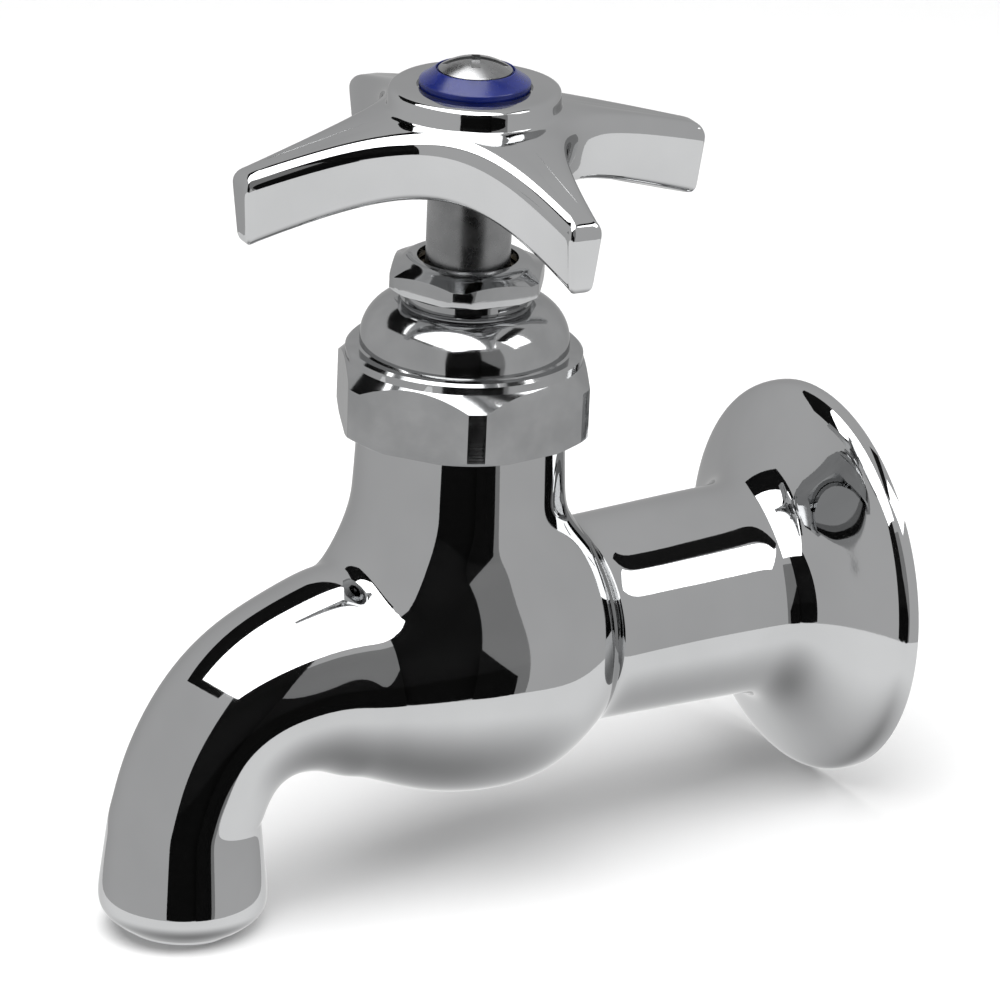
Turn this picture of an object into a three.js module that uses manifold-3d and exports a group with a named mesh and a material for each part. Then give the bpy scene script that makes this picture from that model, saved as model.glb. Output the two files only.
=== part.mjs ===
// Single wall-mounted sill faucet (hose bib) with a four-arm handle and a rising compression stem.
// Millimetres, +Z up. The origin is the centre of the wall face, on the inlet axis: the wall lies at +Y and
// the spout points to -Y. The stem axis is vertical. The valve is drawn shut, its washer down on the seat.
import * as THREE from "three";
import { mergeVertices } from "three/addons/utils/BufferGeometryUtils.js";
import Module from "manifold-3d";

const wasm = await Module();
wasm.setup();

// ---- Driving dimensions -------------------------------------------------------------------------
const CLEAR = 0.3; // gap kept wherever two pieces seat on or run in each other
const RUNNING = 0.1; // radial clearance of the stem in the bonnet that guides it
const THREAD_PLAY = 0.4; // radial clearance of the stem's thread in its sleeve
const SKIRT_PLAY = 0.5; // radial clearance of the bonnet's skirt round the neck
const CHAMFER = 0.6; // small turned edge breaks
const OVERCUT = 1; // how far a cutting tool runs past the face it cuts

// Casting: wall flange, inlet tube, valve globe, neck and spout
const STEM_REACH = 59.6; // wall to stem axis
const SPOUT_REACH = 101.6; // wall to outlet axis
const FLANGE_R = 28.5;
const FLANGE_DEPTH = 13; // wall to the end of the flange's fillet
const FLANGE_WALL = 4;
const TUBE_R = 15.1;
const TUBE_WAIST_R = 14.6; // where the tube meets the globe
const GLOBE_R = 21.6;
const GLOBE_HALF = 16.2; // half length of the globe, along the inlet
const NECK_TOP = 35.2; // top of the plated neck
const NECK_STEP = 1.1; // shoulder at the foot of the threaded spigot
const SPOUT_R = 10.6; // slimmest section, above the outlet boss
const CROWN_DROP = 1.7; // spout centreline below the inlet axis, at its crown
const OUTLET_R = 11.9; // outlet boss
const OUTLET_Z = -34.6; // end of the plated boss
const OUTLET_BORE_R = 6.4;
const LIP_WALL = 1.7; // machined lip around the outlet
const LIP_HEIGHT = 0.9;

// Waterway
const INLET_BORE_R = 9.4; // minor radius of the 1/2 in pipe thread
const INLET_BORE_DEPTH = 19;
const INLET_LEAD_IN = 2;
const RECESS_DEPTH = 6; // hollow behind the flange
const RECESS_EDGE = 0.8; // straight rim of that hollow
const WATERWAY_R = 6;
const INLET_PASSAGE_R = 5;
const LOWER_CHAMBER_R = 9;
const LOWER_CHAMBER_Z = -14.5;
const CHAMBER_CORNER = 3;
const DECK_Z = -4; // underside of the seat deck
const DECK_THICK = 5;
const SPIGOT_WALL = 2.3; // threaded spigot that the bonnet screws onto
const SPIGOT_HEIGHT = 4.6;

// Renewable seat and the washer that shuts on it
const SEAT_BORE_R = 4.7;
const SEAT_LAND = 1.8; // how far the washer covers the seat, outside the bore
const SEAT_WALL = 2.5;
const SEAT_FLANGE = 1.4; // flange beyond the seat's body
const SEAT_FLANGE_THICK = 1.6;
const SEAT_LIP = 1.2;
const SEAT_LIP_R = 0.5; // rounded crest that the washer presses on
const GASKET_THICK = 1;
const SEAT_WASHER_THICK = 3.2;
const CUP_LIP = 1.3; // how far the spindle's cup reaches down around the washer
const CUP_WALL = 0.6;
const CUP_HEIGHT = 1.4;
const WASHER_SCREW_R = 2;
const WASHER_SCREW_HEAD_R = 3.6;
const WASHER_SCREW_HEAD = 1.6;
const WASHER_SCREW_LENGTH = 9;
const WASHER_SCREW_SLOT = 1;

// Spindle
const STEM_R = 5.9;
const THREAD_STEP = 0.9; // thread's crest beyond the stem
const THREAD_RUNOUT = 0.8;
const SPINDLE_THREAD_LENGTH = 11;
const SPINDLE_WAIST_R = 4.8;
const SPLINE_STEP = 1.2; // spline's crest inside the stem
const SPLINE_TEETH = 16;
const SPLINE_DEPTH = 0.45;
const SPLINE_BELOW_HUB = 4.2;
const SPINDLE_RISE = 3.75; // one and a half turns of a 2.5 mm lead

// Cartridge sleeve and bonnet
const SLEEVE_WALL = 3.5;
const SLEEVE_FLANGE_THICK = 1.8;
const SLEEVE_LENGTH = 20;
const SLEEVE_RELIEF = 1; // slimmer part below the O-ring
const O_RING_R = 0.9;
const O_RING_PLAY = 0.2; // the groove's spare length at each side
const O_RING_SQUEEZE = 0.15;
const O_RING_BELOW = 4; // from the sleeve's flange
const O_RING_LAND = 3; // full-size sleeve left below the O-ring
const BONNET_WALL = 1.8; // skirt, measured at the flats
const HEX_CORNER_CUT = 0.68; // how much turning takes off the hexagon's corners
const HEX_TURN = 36.3; // bearing of one corner, degrees
const HEX_SKIRT = 2.9; // how far the hexagon comes down over the neck
const HEX_HEIGHT = 10.1;
const COLLAR_STEP = 0.2; // inside the hexagon's flats
const COLLAR_HEIGHT = 1.5;
const DOME_STEP = 1.9; // inside the collar
const DOME_FOOT = 1; // straight foot below the dome's curve
const DOME_RISE = 8.6; // hexagon's top to the shoulder below the packing thread

// Packing
const PACKING_WALL = 1.2;
const PACKING_RING_THICK = 1.5;
const PACKING_WASHER_THICK = 0.8;
const STUFFING_DEPTH = 7;
const GLAND_WALL = 1.2; // thread around the stuffing box
const PACKING_NUT_WALL = 1.1; // measured at the flats
const PACKING_NUT_CORNER_CUT = 0.49;
const PACKING_NUT_TURN = 24.5; // bearing of one corner, degrees
const PACKING_NUT_HEIGHT = 4.1;
const PACKING_NUT_LIFT = 1.8; // thread left showing under the nut
const PACKING_NUT_LIP = 1.4;
const PACKING_NUT_HOLE_PLAY = 1.15; // around the stem

// Handle
const HANDLE_LIFT = 30.5; // packing shoulder to the hub's face
const HUB_R = 12.1;
const HUB_RISE = 3.3; // hub face above the roots of the arms
const ARM_REACH = 35.1;
const ARM_TIP_HALF = 2.5;
const ARM_TIP_DROP = 5.4; // arm's upper edge, from root to tip
const ARM_CORNER = 1; // rounding at the tips' corners
const WEB_STEP = 2.1; // hub to the closest part of the curve between two arms
const ARM_HEIGHT_ROOT = 9.4;
const ARM_HEIGHT_TIP = 11;
const ARM_DRAFT = 0.75; // how much narrower the underside is, each side
const HANDLE_EDGE = 1.6; // rounding along the arms
const HANDLE_FLOOR_WALL = 3; // flat around the spline's socket
const HANDLE_TURN = -4; // how far past the inlet axis the arms stop when the valve is shut, degrees
const INDEX_SLOPE = 2; // width of the index ring's coned face
const INDEX_RIM = 0.3; // ring left around the screw's head
const INDEX_EDGE = 1.2; // upright edge of the index ring
const INDEX_HEIGHT = 2.6;
const INDEX_SEAT = 0.5; // how far the ring sits into the hub
const SCREW_HEAD_R = 5.1;
const SCREW_HEAD_CROWN = 1.6;
const SCREW_SHANK_R = 2.4;
const SCREW_LENGTH = 11;
const DRIVE_WIDTH = 1.2;
const DRIVE_DEPTH = 1.3;
const DRIVE_TURN = -30; // bearing of the slot, degrees

const ROUND = 32; // facets of a turned face
const ROUND_SMALL = 20;
const ROUND_FINE = 44;

// ---- Sizes that follow from the ones above ------------------------------------------------------
// Outwards from the stem: its thread, the sleeve, the neck and the bonnet's hexagon
const SPINDLE_THREAD_R = STEM_R + THREAD_STEP;
const SPLINE_R = STEM_R - SPLINE_STEP;
const SLEEVE_BORE_R = SPINDLE_THREAD_R + THREAD_PLAY;
const SLEEVE_R = SLEEVE_BORE_R + SLEEVE_WALL;
const NECK_BORE_R = SLEEVE_R + CLEAR;
const SPIGOT_R = NECK_BORE_R + SPIGOT_WALL;
const NECK_R = SPIGOT_R + NECK_STEP;
const SKIRT_BORE_R = NECK_R + SKIRT_PLAY;
const HEX_FLATS = 2 * (SKIRT_BORE_R + BONNET_WALL);
const HEX_CORNER_R = HEX_FLATS / Math.sqrt(3) - HEX_CORNER_CUT;
const COLLAR_R = HEX_FLATS / 2 - COLLAR_STEP;
const DOME_R = COLLAR_R - DOME_STEP;

// Outwards from the stem again: packing, stuffing box, its thread and the packing nut
const PACKING_INNER = STEM_R + CLEAR;
const PACKING_OUTER = PACKING_INNER + PACKING_WALL;
const STUFFING_R = PACKING_OUTER + CLEAR;
const GLAND_THREAD_R = STUFFING_R + GLAND_WALL;
const PACKING_NUT_FLATS = 2 * (GLAND_THREAD_R + CLEAR + PACKING_NUT_WALL);
const PACKING_NUT_CORNER_R = PACKING_NUT_FLATS / Math.sqrt(3) - PACKING_NUT_CORNER_CUT;
const NUT_HOLE_R = STEM_R + PACKING_NUT_HOLE_PLAY;

// Seat, washer, outlet and handle
const SEAT_R = SEAT_BORE_R + SEAT_WALL;
const SEAT_FLANGE_R = SEAT_R + SEAT_FLANGE;
const SEAT_WASHER_R = SEAT_BORE_R + SEAT_LAND;
const LIP_R = OUTLET_BORE_R + LIP_WALL;
const WEB_R = HUB_R + WEB_STEP;
const INDEX_TOP_R = SCREW_HEAD_R + CLEAR + INDEX_RIM;
const INDEX_BASE_R = INDEX_TOP_R + INDEX_SLOPE;

// Up the stem axis: hexagon, dome and handle
const STEM_Y = -STEM_REACH;
const OUTLET_Y = -SPOUT_REACH;
const SPIGOT_TOP = NECK_TOP + SPIGOT_HEIGHT;
const SEAT_DECK_TOP = DECK_Z + DECK_THICK;
const HEX_BOTTOM = NECK_TOP - HEX_SKIRT;
const HEX_TOP = HEX_BOTTOM + HEX_HEIGHT;
const DOME_TOP = HEX_TOP + DOME_RISE;
const HUB_TOP = DOME_TOP + HANDLE_LIFT;

// ---- Colours and finishes -----------------------------------------------------------------------
const finish = (color, metalness, roughness) =>
  new THREE.MeshStandardMaterial({ color, metalness, roughness });
const polishedChrome = finish(0xd9dadb, 1, 0.05);
const turnedChrome = finish(0xb9babc, 1, 0.18);
const rawBrass = finish(0xb5955a, 1, 0.35);
const bluePlastic = finish(0x10249c, 0, 0.32);
const blackRubber = finish(0x161616, 0, 0.8);
const fibre = finish(0x7c2f22, 0, 0.85);
const packingWhite = finish(0xd8d4c8, 0, 0.6);

// ---- Solids and booleans ------------------------------------------------------------------------
const toSolid = (geometry) => {
  const bare = geometry.index ? geometry.toNonIndexed() : geometry.clone();
  for (const name of Object.keys(bare.attributes))
    if (name !== "position") bare.deleteAttribute(name);
  const merged = mergeVertices(bare, 1e-4);
  const vertProperties = merged.attributes.position.array;
  const triVerts = new Uint32Array(merged.index.array);
  return new wasm.Manifold(new wasm.Mesh({ numProp: 3, vertProperties, triVerts }));
};

const toGeometry = (solid) => {
  const { vertProperties, triVerts } = solid.getMesh();
  const geometry = new THREE.BufferGeometry();
  geometry.setAttribute("position", new THREE.BufferAttribute(vertProperties, 3));
  geometry.setIndex(new THREE.BufferAttribute(triVerts, 1));
  geometry.computeVertexNormals();
  return geometry;
};

// A turned solid about Z from a closed outline of [radius, height] points, listed anticlockwise.
const turned = (outline, facets = ROUND) => {
  const points = [...outline, outline[0]].map(([r, z]) => new THREE.Vector2(r, z));
  return toSolid(new THREE.LatheGeometry(points, facets).rotateX(Math.PI / 2));
};

const rod = (radius, low, high, facets = ROUND_SMALL) =>
  turned([[0, low], [radius, low], [radius, high], [0, high]], facets);

const ring = (inner, outer, low, high, facets = ROUND) =>
  turned([[inner, low], [outer, low], [outer, high], [inner, high]], facets);

// The points of an arc in an outline, from one angle to another in degrees.
const arc = (r, z, radius, from, to, steps) =>
  Array.from({ length: steps + 1 }, (_, i) => {
    const angle = THREE.MathUtils.degToRad(from + ((to - from) * i) / steps);
    return [r + radius * Math.cos(angle), z + radius * Math.sin(angle)];
  });

// A hexagonal bar about Z, with one corner at a bearing in degrees.
const hexBar = (flats, low, high, bearing) => {
  const shape = new THREE.Shape(
    Array.from({ length: 6 }, (_, i) => {
      const angle = (i * Math.PI) / 3 + THREE.MathUtils.degToRad(bearing);
      const corner = flats / Math.sqrt(3);
      return new THREE.Vector2(corner * Math.cos(angle), corner * Math.sin(angle));
    }),
  );
  const bar = new THREE.ExtrudeGeometry(shape, { depth: high - low, bevelEnabled: false });
  return toSolid(bar.translate(0, 0, low));
};

// A round bar of one radius along a path of THREE.Vector3 points.
const pipe = (points, radius, steps, facets = 16) => {
  const circle = new THREE.Shape(
    Array.from({ length: facets }, (_, i) => {
      const angle = (i / facets) * 2 * Math.PI;
      return new THREE.Vector2(radius * Math.cos(angle), radius * Math.sin(angle));
    }),
  );
  const extrudePath = new THREE.CatmullRomCurve3(points);
  return toSolid(new THREE.ExtrudeGeometry(circle, { steps, extrudePath, bevelEnabled: false }));
};

const block = (x0, x1, y0, y1, z0, z1) =>
  toSolid(
    new THREE.BoxGeometry(x1 - x0, y1 - y0, z1 - z0).translate((x0 + x1) / 2, (y0 + y1) / 2, (z0 + z1) / 2),
  );

// ---- Smooth surfaces from a cage of faces -------------------------------------------------------
// One round of Catmull-Clark subdivision. points are THREE.Vector3, faces are lists of point numbers.
const subdivide = ({ points, faces }) => {
  const mean = (list) =>
    list.reduce((sum, p) => sum.add(p), new THREE.Vector3()).divideScalar(list.length);
  const centres = faces.map((face) => mean(face.map((i) => points[i])));
  const edges = new Map();
  const touching = points.map(() => ({ faces: [], mids: [] }));
  faces.forEach((face, f) =>
    face.forEach((a, k) => {
      const b = face[(k + 1) % face.length];
      const key = a < b ? `${a}_${b}` : `${b}_${a}`;
      if (!edges.has(key)) edges.set(key, { a, b, faces: [] });
      edges.get(key).faces.push(f);
      touching[a].faces.push(f);
    }),
  );
  const made = [];
  const edgeIndex = new Map();
  for (const [key, { a, b, faces: sides }] of edges) {
    const middle = mean([points[a], points[b]]);
    touching[a].mids.push(middle);
    touching[b].mids.push(middle);
    edgeIndex.set(key, points.length + centres.length + made.length);
    made.push(mean([points[a], points[b], ...sides.map((f) => centres[f])]));
  }
  const moved = points.map((p, i) => {
    const { faces: around, mids } = touching[i];
    const n = around.length;
    const pull = mean(around.map((f) => centres[f])).addScaledVector(mean(mids), 2);
    return pull.addScaledVector(p, n - 3).divideScalar(n);
  });
  const edgeOf = (a, b) => edgeIndex.get(a < b ? `${a}_${b}` : `${b}_${a}`);
  const quads = faces.flatMap((face, f) =>
    face.map((a, k) => {
      const next = face[(k + 1) % face.length];
      const last = face[(k + face.length - 1) % face.length];
      return [a, edgeOf(a, next), points.length + f, edgeOf(last, a)];
    }),
  );
  return { points: [...moved, ...centres, ...made], faces: quads };
};

const cageSolid = (cage, rounds) => {
  let smooth = cage;
  for (let i = 0; i < rounds; i++) smooth = subdivide(smooth);
  const triangles = smooth.faces.flatMap((face) =>
    face.slice(2).flatMap((_, k) => [face[0], face[k + 1], face[k + 2]]),
  );
  const geometry = new THREE.BufferGeometry().setFromPoints(smooth.points).setIndex(triangles);
  return toSolid(geometry);
};

// ---- The casting --------------------------------------------------------------------------------
const SIDES = 16; // points around each section of the casting's cage
const NECK_SPAN = 4; // faces of the cage that the neck opening takes, each way
const CAGE_GROWTH = 1.026; // a cage's round section shrinks by this much when it is smoothed

// Sections from the wall to the outlet: centre y and z, radius, and how far each one leans forward, degrees.
const castingSections = () => {
  const bulge = FLANGE_R - TUBE_R;
  const flange = [
    [3, 0.93],
    [0.6, 1],
    [-1.6, 1],
    [-2.9, 0.955],
    [-4.3, 0.8],
    [-6, 0.56],
    [-7.9, 0.31],
    [-10, 0.115],
  ].map(([y, share]) => [y, 0, TUBE_R + bulge * share, 0]);
  const waist = STEM_Y + GLOBE_HALF + 2.2;
  const tube = [
    [-FLANGE_DEPTH, 0, TUBE_R, 0],
    [-FLANGE_DEPTH - 4, 0, TUBE_R, 0],
    [(waist - FLANGE_DEPTH) / 2, -0.2, (TUBE_R + TUBE_WAIST_R) / 2, 0],
    [waist + 4, -0.4, TUBE_WAIST_R, 0],
    [waist, -0.5, TUBE_WAIST_R, 0],
  ];
  const swell = GLOBE_R - TUBE_R;
  // Share of the globe's half length, share of its swell, drop of the centre, and width over height
  const globe = [
    [1, 0.33, -0.7, 1.14],
    [0.52, 0.94, 0.2, 1.04],
    [0, 1.02, 0.2, 1],
    [-0.5, 0.74, 0.7, 1],
    [-1, 0, 1.9, 1.02],
  ].map(([along, share, drop, width]) => {
    const y = STEM_Y + GLOBE_HALF * along;
    return [y, -drop, TUBE_R + swell * share, 0, width];
  });
  // The spout is a half arch: out along a crown, then down on a quarter turn to the outlet.
  const start = STEM_Y - GLOBE_HALF;
  const run = start - OUTLET_Y;
  const spout = [
    [0.13, 0, 15.0, 0],
    [0.31, 0.1, 13.4, 6],
    [0.55, 1.7, 12.2, 22],
    [0.73, 4.6, 11.3, 40],
    [0.86, 8.6, 10.7, 58],
    [0.945, 13.2, SPOUT_R, 72],
    [0.985, 17, SPOUT_R, 84],
  ].map(([share, drop, r, lean]) => [start - run * share, -CROWN_DROP - drop, r, lean]);
  const boss = [
    [15.1, 0.9],
    [12.6, 1],
    [6, 1],
    [2.6, 0.99],
    [0.7, 0.86],
    [-1.4, 0.62],
  ].map(([up, share]) => [OUTLET_Y, OUTLET_Z + up, OUTLET_R * share, 90]);
  return [...flange, ...tube, ...globe, ...spout, ...boss];
};

const castingCage = () => {
  const sections = castingSections();
  const points = sections.flatMap(([y, z, radius, lean, width = 1]) => {
    const tip = THREE.MathUtils.degToRad(lean);
    return Array.from({ length: SIDES }, (_, j) => {
      const angle = (j / SIDES) * 2 * Math.PI;
      const across = radius * CAGE_GROWTH * width * Math.cos(angle);
      const up = radius * CAGE_GROWTH * Math.sin(angle);
      return new THREE.Vector3(across, y - up * Math.sin(tip), z + up * Math.cos(tip));
    });
  });
  const faces = [];
  // The neck opening is a square patch of faces on top of the globe, centred on the stem axis.
  const middle = sections.findIndex(([y]) => Math.abs(y - STEM_Y) < 1e-6);
  const firstRow = middle - NECK_SPAN / 2;
  const firstColumn = SIDES / 4 - NECK_SPAN / 2;
  for (let i = 0; i < sections.length - 1; i++)
    for (let j = 0; j < SIDES; j++) {
      const inRows = i >= firstRow && i < firstRow + NECK_SPAN;
      const inColumns = j >= firstColumn && j < firstColumn + NECK_SPAN;
      if (inRows && inColumns) continue;
      const next = (j + 1) % SIDES;
      faces.push([i * SIDES + j, i * SIDES + next, (i + 1) * SIDES + next, (i + 1) * SIDES + j]);
    }
  const wallEnd = Array.from({ length: SIDES }, (_, j) => SIDES - 1 - j);
  const outletEnd = Array.from({ length: SIDES }, (_, j) => (sections.length - 1) * SIDES + j);
  faces.push(wallEnd, outletEnd);

  // The rim of the opening, in order around the stem axis, and the rings of the neck that rise from it.
  const at = (row, column) => (firstRow + row) * SIDES + firstColumn + column;
  const steps = Array.from({ length: NECK_SPAN }, (_, k) => k);
  const rim = [
    ...steps.map((k) => at(0, k)),
    ...steps.map((k) => at(k, NECK_SPAN)),
    ...steps.map((k) => at(NECK_SPAN, NECK_SPAN - k)),
    ...steps.map((k) => at(NECK_SPAN - k, 0)),
  ];
  const rings = [
    [0.55, 1.045],
    [0.69, 1.03],
    [0.84, 1.01],
    [1.1, 1],
  ].map(([up, share]) => [NECK_TOP * up, NECK_R * share]);
  let below = rim;
  for (const [z, radius] of rings) {
    const first = points.length;
    rim.forEach((_, k) => {
      const angle = Math.PI / 4 + (k / rim.length) * 2 * Math.PI;
      const reach = radius * CAGE_GROWTH;
      points.push(new THREE.Vector3(reach * Math.cos(angle), STEM_Y + reach * Math.sin(angle), z));
    });
    const above = rim.map((_, k) => first + k);
    below.forEach((a, k) => {
      const n = (k + 1) % rim.length;
      faces.push([a, below[n], above[n], above[k]]);
    });
    below = above;
  }
  faces.push([...below]);
  return { points, faces };
};

const atStem = (solid) => solid.translate([0, STEM_Y, 0]);
const alongInlet = (solid) => solid.rotate([90, 0, 0]); // a solid turned about Z, laid along -Y from the wall

const castBody = () => {
  const beyond = 50;
  let body = cageSolid(castingCage(), 1);
  // Flat wall face, flat neck shoulder and flat outlet end
  body = body.subtract(block(-beyond, beyond, 0, beyond, -beyond, beyond));
  const front = OUTLET_Y - beyond;
  body = body.subtract(block(-beyond, beyond, front, 0, NECK_TOP, NECK_TOP + beyond));
  body = body.subtract(block(-beyond, beyond, front, STEM_Y - GLOBE_HALF, OUTLET_Z - beyond, OUTLET_Z));
  body = body.add(atStem(rod(SPIGOT_R, NECK_TOP - OVERCUT, SPIGOT_TOP, ROUND)));
  const lip = rod(LIP_R, OUTLET_Z - LIP_HEIGHT, OUTLET_Z + OVERCUT, ROUND);
  body = body.add(lip.translate([0, OUTLET_Y, 0]));

  // Recess behind the flange, then the pipe thread with its lead-in
  const recess = FLANGE_R - FLANGE_WALL;
  const boss = INLET_BORE_R + FLANGE_WALL;
  const hollow = recess - boss;
  const dish = turned([
    [boss, -OVERCUT],
    [recess, -OVERCUT],
    [recess, RECESS_EDGE],
    [recess - hollow * 0.36, RECESS_DEPTH * 0.6],
    [boss + hollow * 0.27, RECESS_DEPTH],
    [boss, RECESS_DEPTH],
  ]);
  const thread = turned([
    [0, -OVERCUT],
    [INLET_BORE_R + INLET_LEAD_IN, -OVERCUT],
    [INLET_BORE_R, INLET_LEAD_IN - OVERCUT / 2],
    [INLET_BORE_R, INLET_BORE_DEPTH],
    [WATERWAY_R, INLET_BORE_DEPTH + INLET_LEAD_IN],
    [0, INLET_BORE_DEPTH + INLET_LEAD_IN],
  ]);
  body = body.subtract(alongInlet(dish)).subtract(alongInlet(thread));

  // Waterway: down under the seat deck, up through the seat, and over into the spout
  const under = (LOWER_CHAMBER_Z + DECK_Z) / 2;
  body = body.subtract(
    pipe(
      [
        new THREE.Vector3(0, -INLET_BORE_DEPTH, 0),
        new THREE.Vector3(0, -INLET_BORE_DEPTH - 8, 0),
        new THREE.Vector3(0, STEM_Y + 15, under + 2),
        new THREE.Vector3(0, STEM_Y + 3, under),
      ],
      INLET_PASSAGE_R,
      8,
    ),
  );
  const chamber = turned([
    [0, LOWER_CHAMBER_Z],
    [LOWER_CHAMBER_R - CHAMBER_CORNER, LOWER_CHAMBER_Z],
    [LOWER_CHAMBER_R, LOWER_CHAMBER_Z + CHAMBER_CORNER],
    [LOWER_CHAMBER_R, DECK_Z],
    [SEAT_R + CLEAR, DECK_Z],
    [SEAT_R + CLEAR, SEAT_DECK_TOP],
    [NECK_BORE_R, SEAT_DECK_TOP],
    [NECK_BORE_R, SPIGOT_TOP + OVERCUT],
    [0, SPIGOT_TOP + OVERCUT],
  ]);
  const spoutWay = pipe(
    [
      new THREE.Vector3(0, STEM_Y - 4, SEAT_DECK_TOP + WATERWAY_R),
      new THREE.Vector3(0, STEM_Y - 14, 4),
      new THREE.Vector3(0, OUTLET_Y + 13, -CROWN_DROP - 1.5),
      new THREE.Vector3(0, OUTLET_Y + 4, -CROWN_DROP - 8),
      new THREE.Vector3(0, OUTLET_Y, -CROWN_DROP - 18),
      new THREE.Vector3(0, OUTLET_Y, OUTLET_Z - LIP_HEIGHT - OVERCUT),
    ],
    OUTLET_BORE_R,
    12,
  );
  return body.subtract(atStem(chamber)).subtract(spoutWay);
};

// ---- Seat, sleeve and bonnet --------------------------------------------------------------------
const SEAT_GASKET_Z = SEAT_DECK_TOP + CLEAR;
const SEAT_UNDER = SEAT_GASKET_Z + GASKET_THICK + CLEAR; // underside of the seat's flange
const SEAT_TOP = SEAT_UNDER + SEAT_FLANGE_THICK + SEAT_LIP;

const seatRing = () => {
  const body = turned([
    [SEAT_BORE_R, DECK_Z],
    [SEAT_R, DECK_Z],
    [SEAT_R, SEAT_UNDER],
    [SEAT_FLANGE_R, SEAT_UNDER],
    [SEAT_FLANGE_R, SEAT_UNDER + SEAT_FLANGE_THICK],
    [SEAT_BORE_R + SEAT_LAND, SEAT_UNDER + SEAT_FLANGE_THICK],
    ...arc(SEAT_BORE_R + SEAT_LAND / 2, SEAT_TOP - SEAT_LIP_R, SEAT_LIP_R, 0, 180, 4),
    [SEAT_BORE_R, SEAT_UNDER + SEAT_FLANGE_THICK],
  ]);
  // A square socket for the seat wrench
  const half = SEAT_BORE_R * 0.86;
  return body.subtract(block(-half, half, -half, half, DECK_Z - OVERCUT, SEAT_UNDER));
};

const SLEEVE_GASKET_Z = SPIGOT_TOP + CLEAR;
const SLEEVE_FLANGE_Z = SLEEVE_GASKET_Z + GASKET_THICK + CLEAR;
const SLEEVE_TOP = SLEEVE_FLANGE_Z + SLEEVE_FLANGE_THICK;
const SLEEVE_BOTTOM = SLEEVE_TOP - SLEEVE_LENGTH;
const O_RING_Z = SLEEVE_FLANGE_Z - O_RING_BELOW;
const SLEEVE_FLANGE_R = SPIGOT_R - CLEAR;
const BONNET_BORE_R = SPIGOT_R + CLEAR;

const cartridgeSleeve = () => {
  const groove = O_RING_R + O_RING_PLAY;
  return turned([
    [SLEEVE_BORE_R, SLEEVE_BOTTOM],
    [SLEEVE_R - SLEEVE_RELIEF, SLEEVE_BOTTOM],
    [SLEEVE_R - SLEEVE_RELIEF, O_RING_Z - O_RING_LAND],
    [SLEEVE_R, O_RING_Z - O_RING_LAND],
    [SLEEVE_R, O_RING_Z - groove],
    [SLEEVE_R - 2 * O_RING_R, O_RING_Z - groove],
    [SLEEVE_R - 2 * O_RING_R, O_RING_Z + groove],
    [SLEEVE_R, O_RING_Z + groove],
    [SLEEVE_R, SLEEVE_FLANGE_Z],
    [SLEEVE_FLANGE_R, SLEEVE_FLANGE_Z],
    [SLEEVE_FLANGE_R, SLEEVE_TOP],
    [SLEEVE_BORE_R, SLEEVE_TOP],
  ]);
};

const sleeveORing = () => {
  const section = O_RING_R - O_RING_SQUEEZE;
  return turned(arc(SLEEVE_R - section, O_RING_Z, section, 0, 315, 7));
};

const BONNET_CEILING = SLEEVE_TOP + CLEAR;
const BONNET_TOP = DOME_TOP + PACKING_NUT_LIFT + PACKING_NUT_HEIGHT - PACKING_NUT_LIP - CLEAR;
const STUFFING_FLOOR = BONNET_TOP - STUFFING_DEPTH;
const STEM_HOLE_R = STEM_R + RUNNING;

const bonnetHex = () => {
  const chamfer = HEX_CORNER_R - COLLAR_R; // a cone at 45 degrees scallops the tops of the flats
  const outline = [
    [0, HEX_BOTTOM],
    [HEX_CORNER_R - 2 * CHAMFER, HEX_BOTTOM],
    [HEX_CORNER_R, HEX_BOTTOM + 1.5 * CHAMFER],
    [HEX_CORNER_R, HEX_TOP - chamfer],
    [COLLAR_R, HEX_TOP],
    [0, HEX_TOP],
  ];
  const bar = hexBar(HEX_FLATS, HEX_BOTTOM - OVERCUT, HEX_TOP + OVERCUT, HEX_TURN);
  return bar.intersect(turned(outline, ROUND_FINE));
};

const bonnet = () => {
  const collarTop = HEX_TOP + COLLAR_HEIGHT;
  const domeFoot = collarTop + DOME_FOOT;
  const domeRadius = DOME_TOP - domeFoot;
  const dome = arc(DOME_R - domeRadius, domeFoot, domeRadius, 0, 84, 6);
  const edge = CHAMFER * 0.7;
  const outline = [
    [0, HEX_TOP - OVERCUT],
    [COLLAR_R - OVERCUT, HEX_TOP - OVERCUT],
    [COLLAR_R, HEX_TOP],
    [COLLAR_R, collarTop - edge],
    [COLLAR_R - edge, collarTop],
    [DOME_R, collarTop],
    ...dome,
    [GLAND_THREAD_R, DOME_TOP],
    [GLAND_THREAD_R, BONNET_TOP - CHAMFER],
    [GLAND_THREAD_R - CHAMFER, BONNET_TOP],
    [0, BONNET_TOP],
  ];
  const inside = turned([
    [0, HEX_BOTTOM - OVERCUT],
    [SKIRT_BORE_R, HEX_BOTTOM - OVERCUT],
    [SKIRT_BORE_R, NECK_TOP + CLEAR],
    [BONNET_BORE_R, NECK_TOP + 2 * CLEAR],
    [BONNET_BORE_R, BONNET_CEILING],
    [STEM_HOLE_R + 2 * CHAMFER, BONNET_CEILING],
    [STEM_HOLE_R, BONNET_CEILING + 2 * CHAMFER],
    [STEM_HOLE_R, STUFFING_FLOOR],
    [STUFFING_R, STUFFING_FLOOR],
    [STUFFING_R, BONNET_TOP + OVERCUT],
    [0, BONNET_TOP + OVERCUT],
  ]);
  return bonnetHex().add(turned(outline, ROUND_FINE)).subtract(inside);
};

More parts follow.
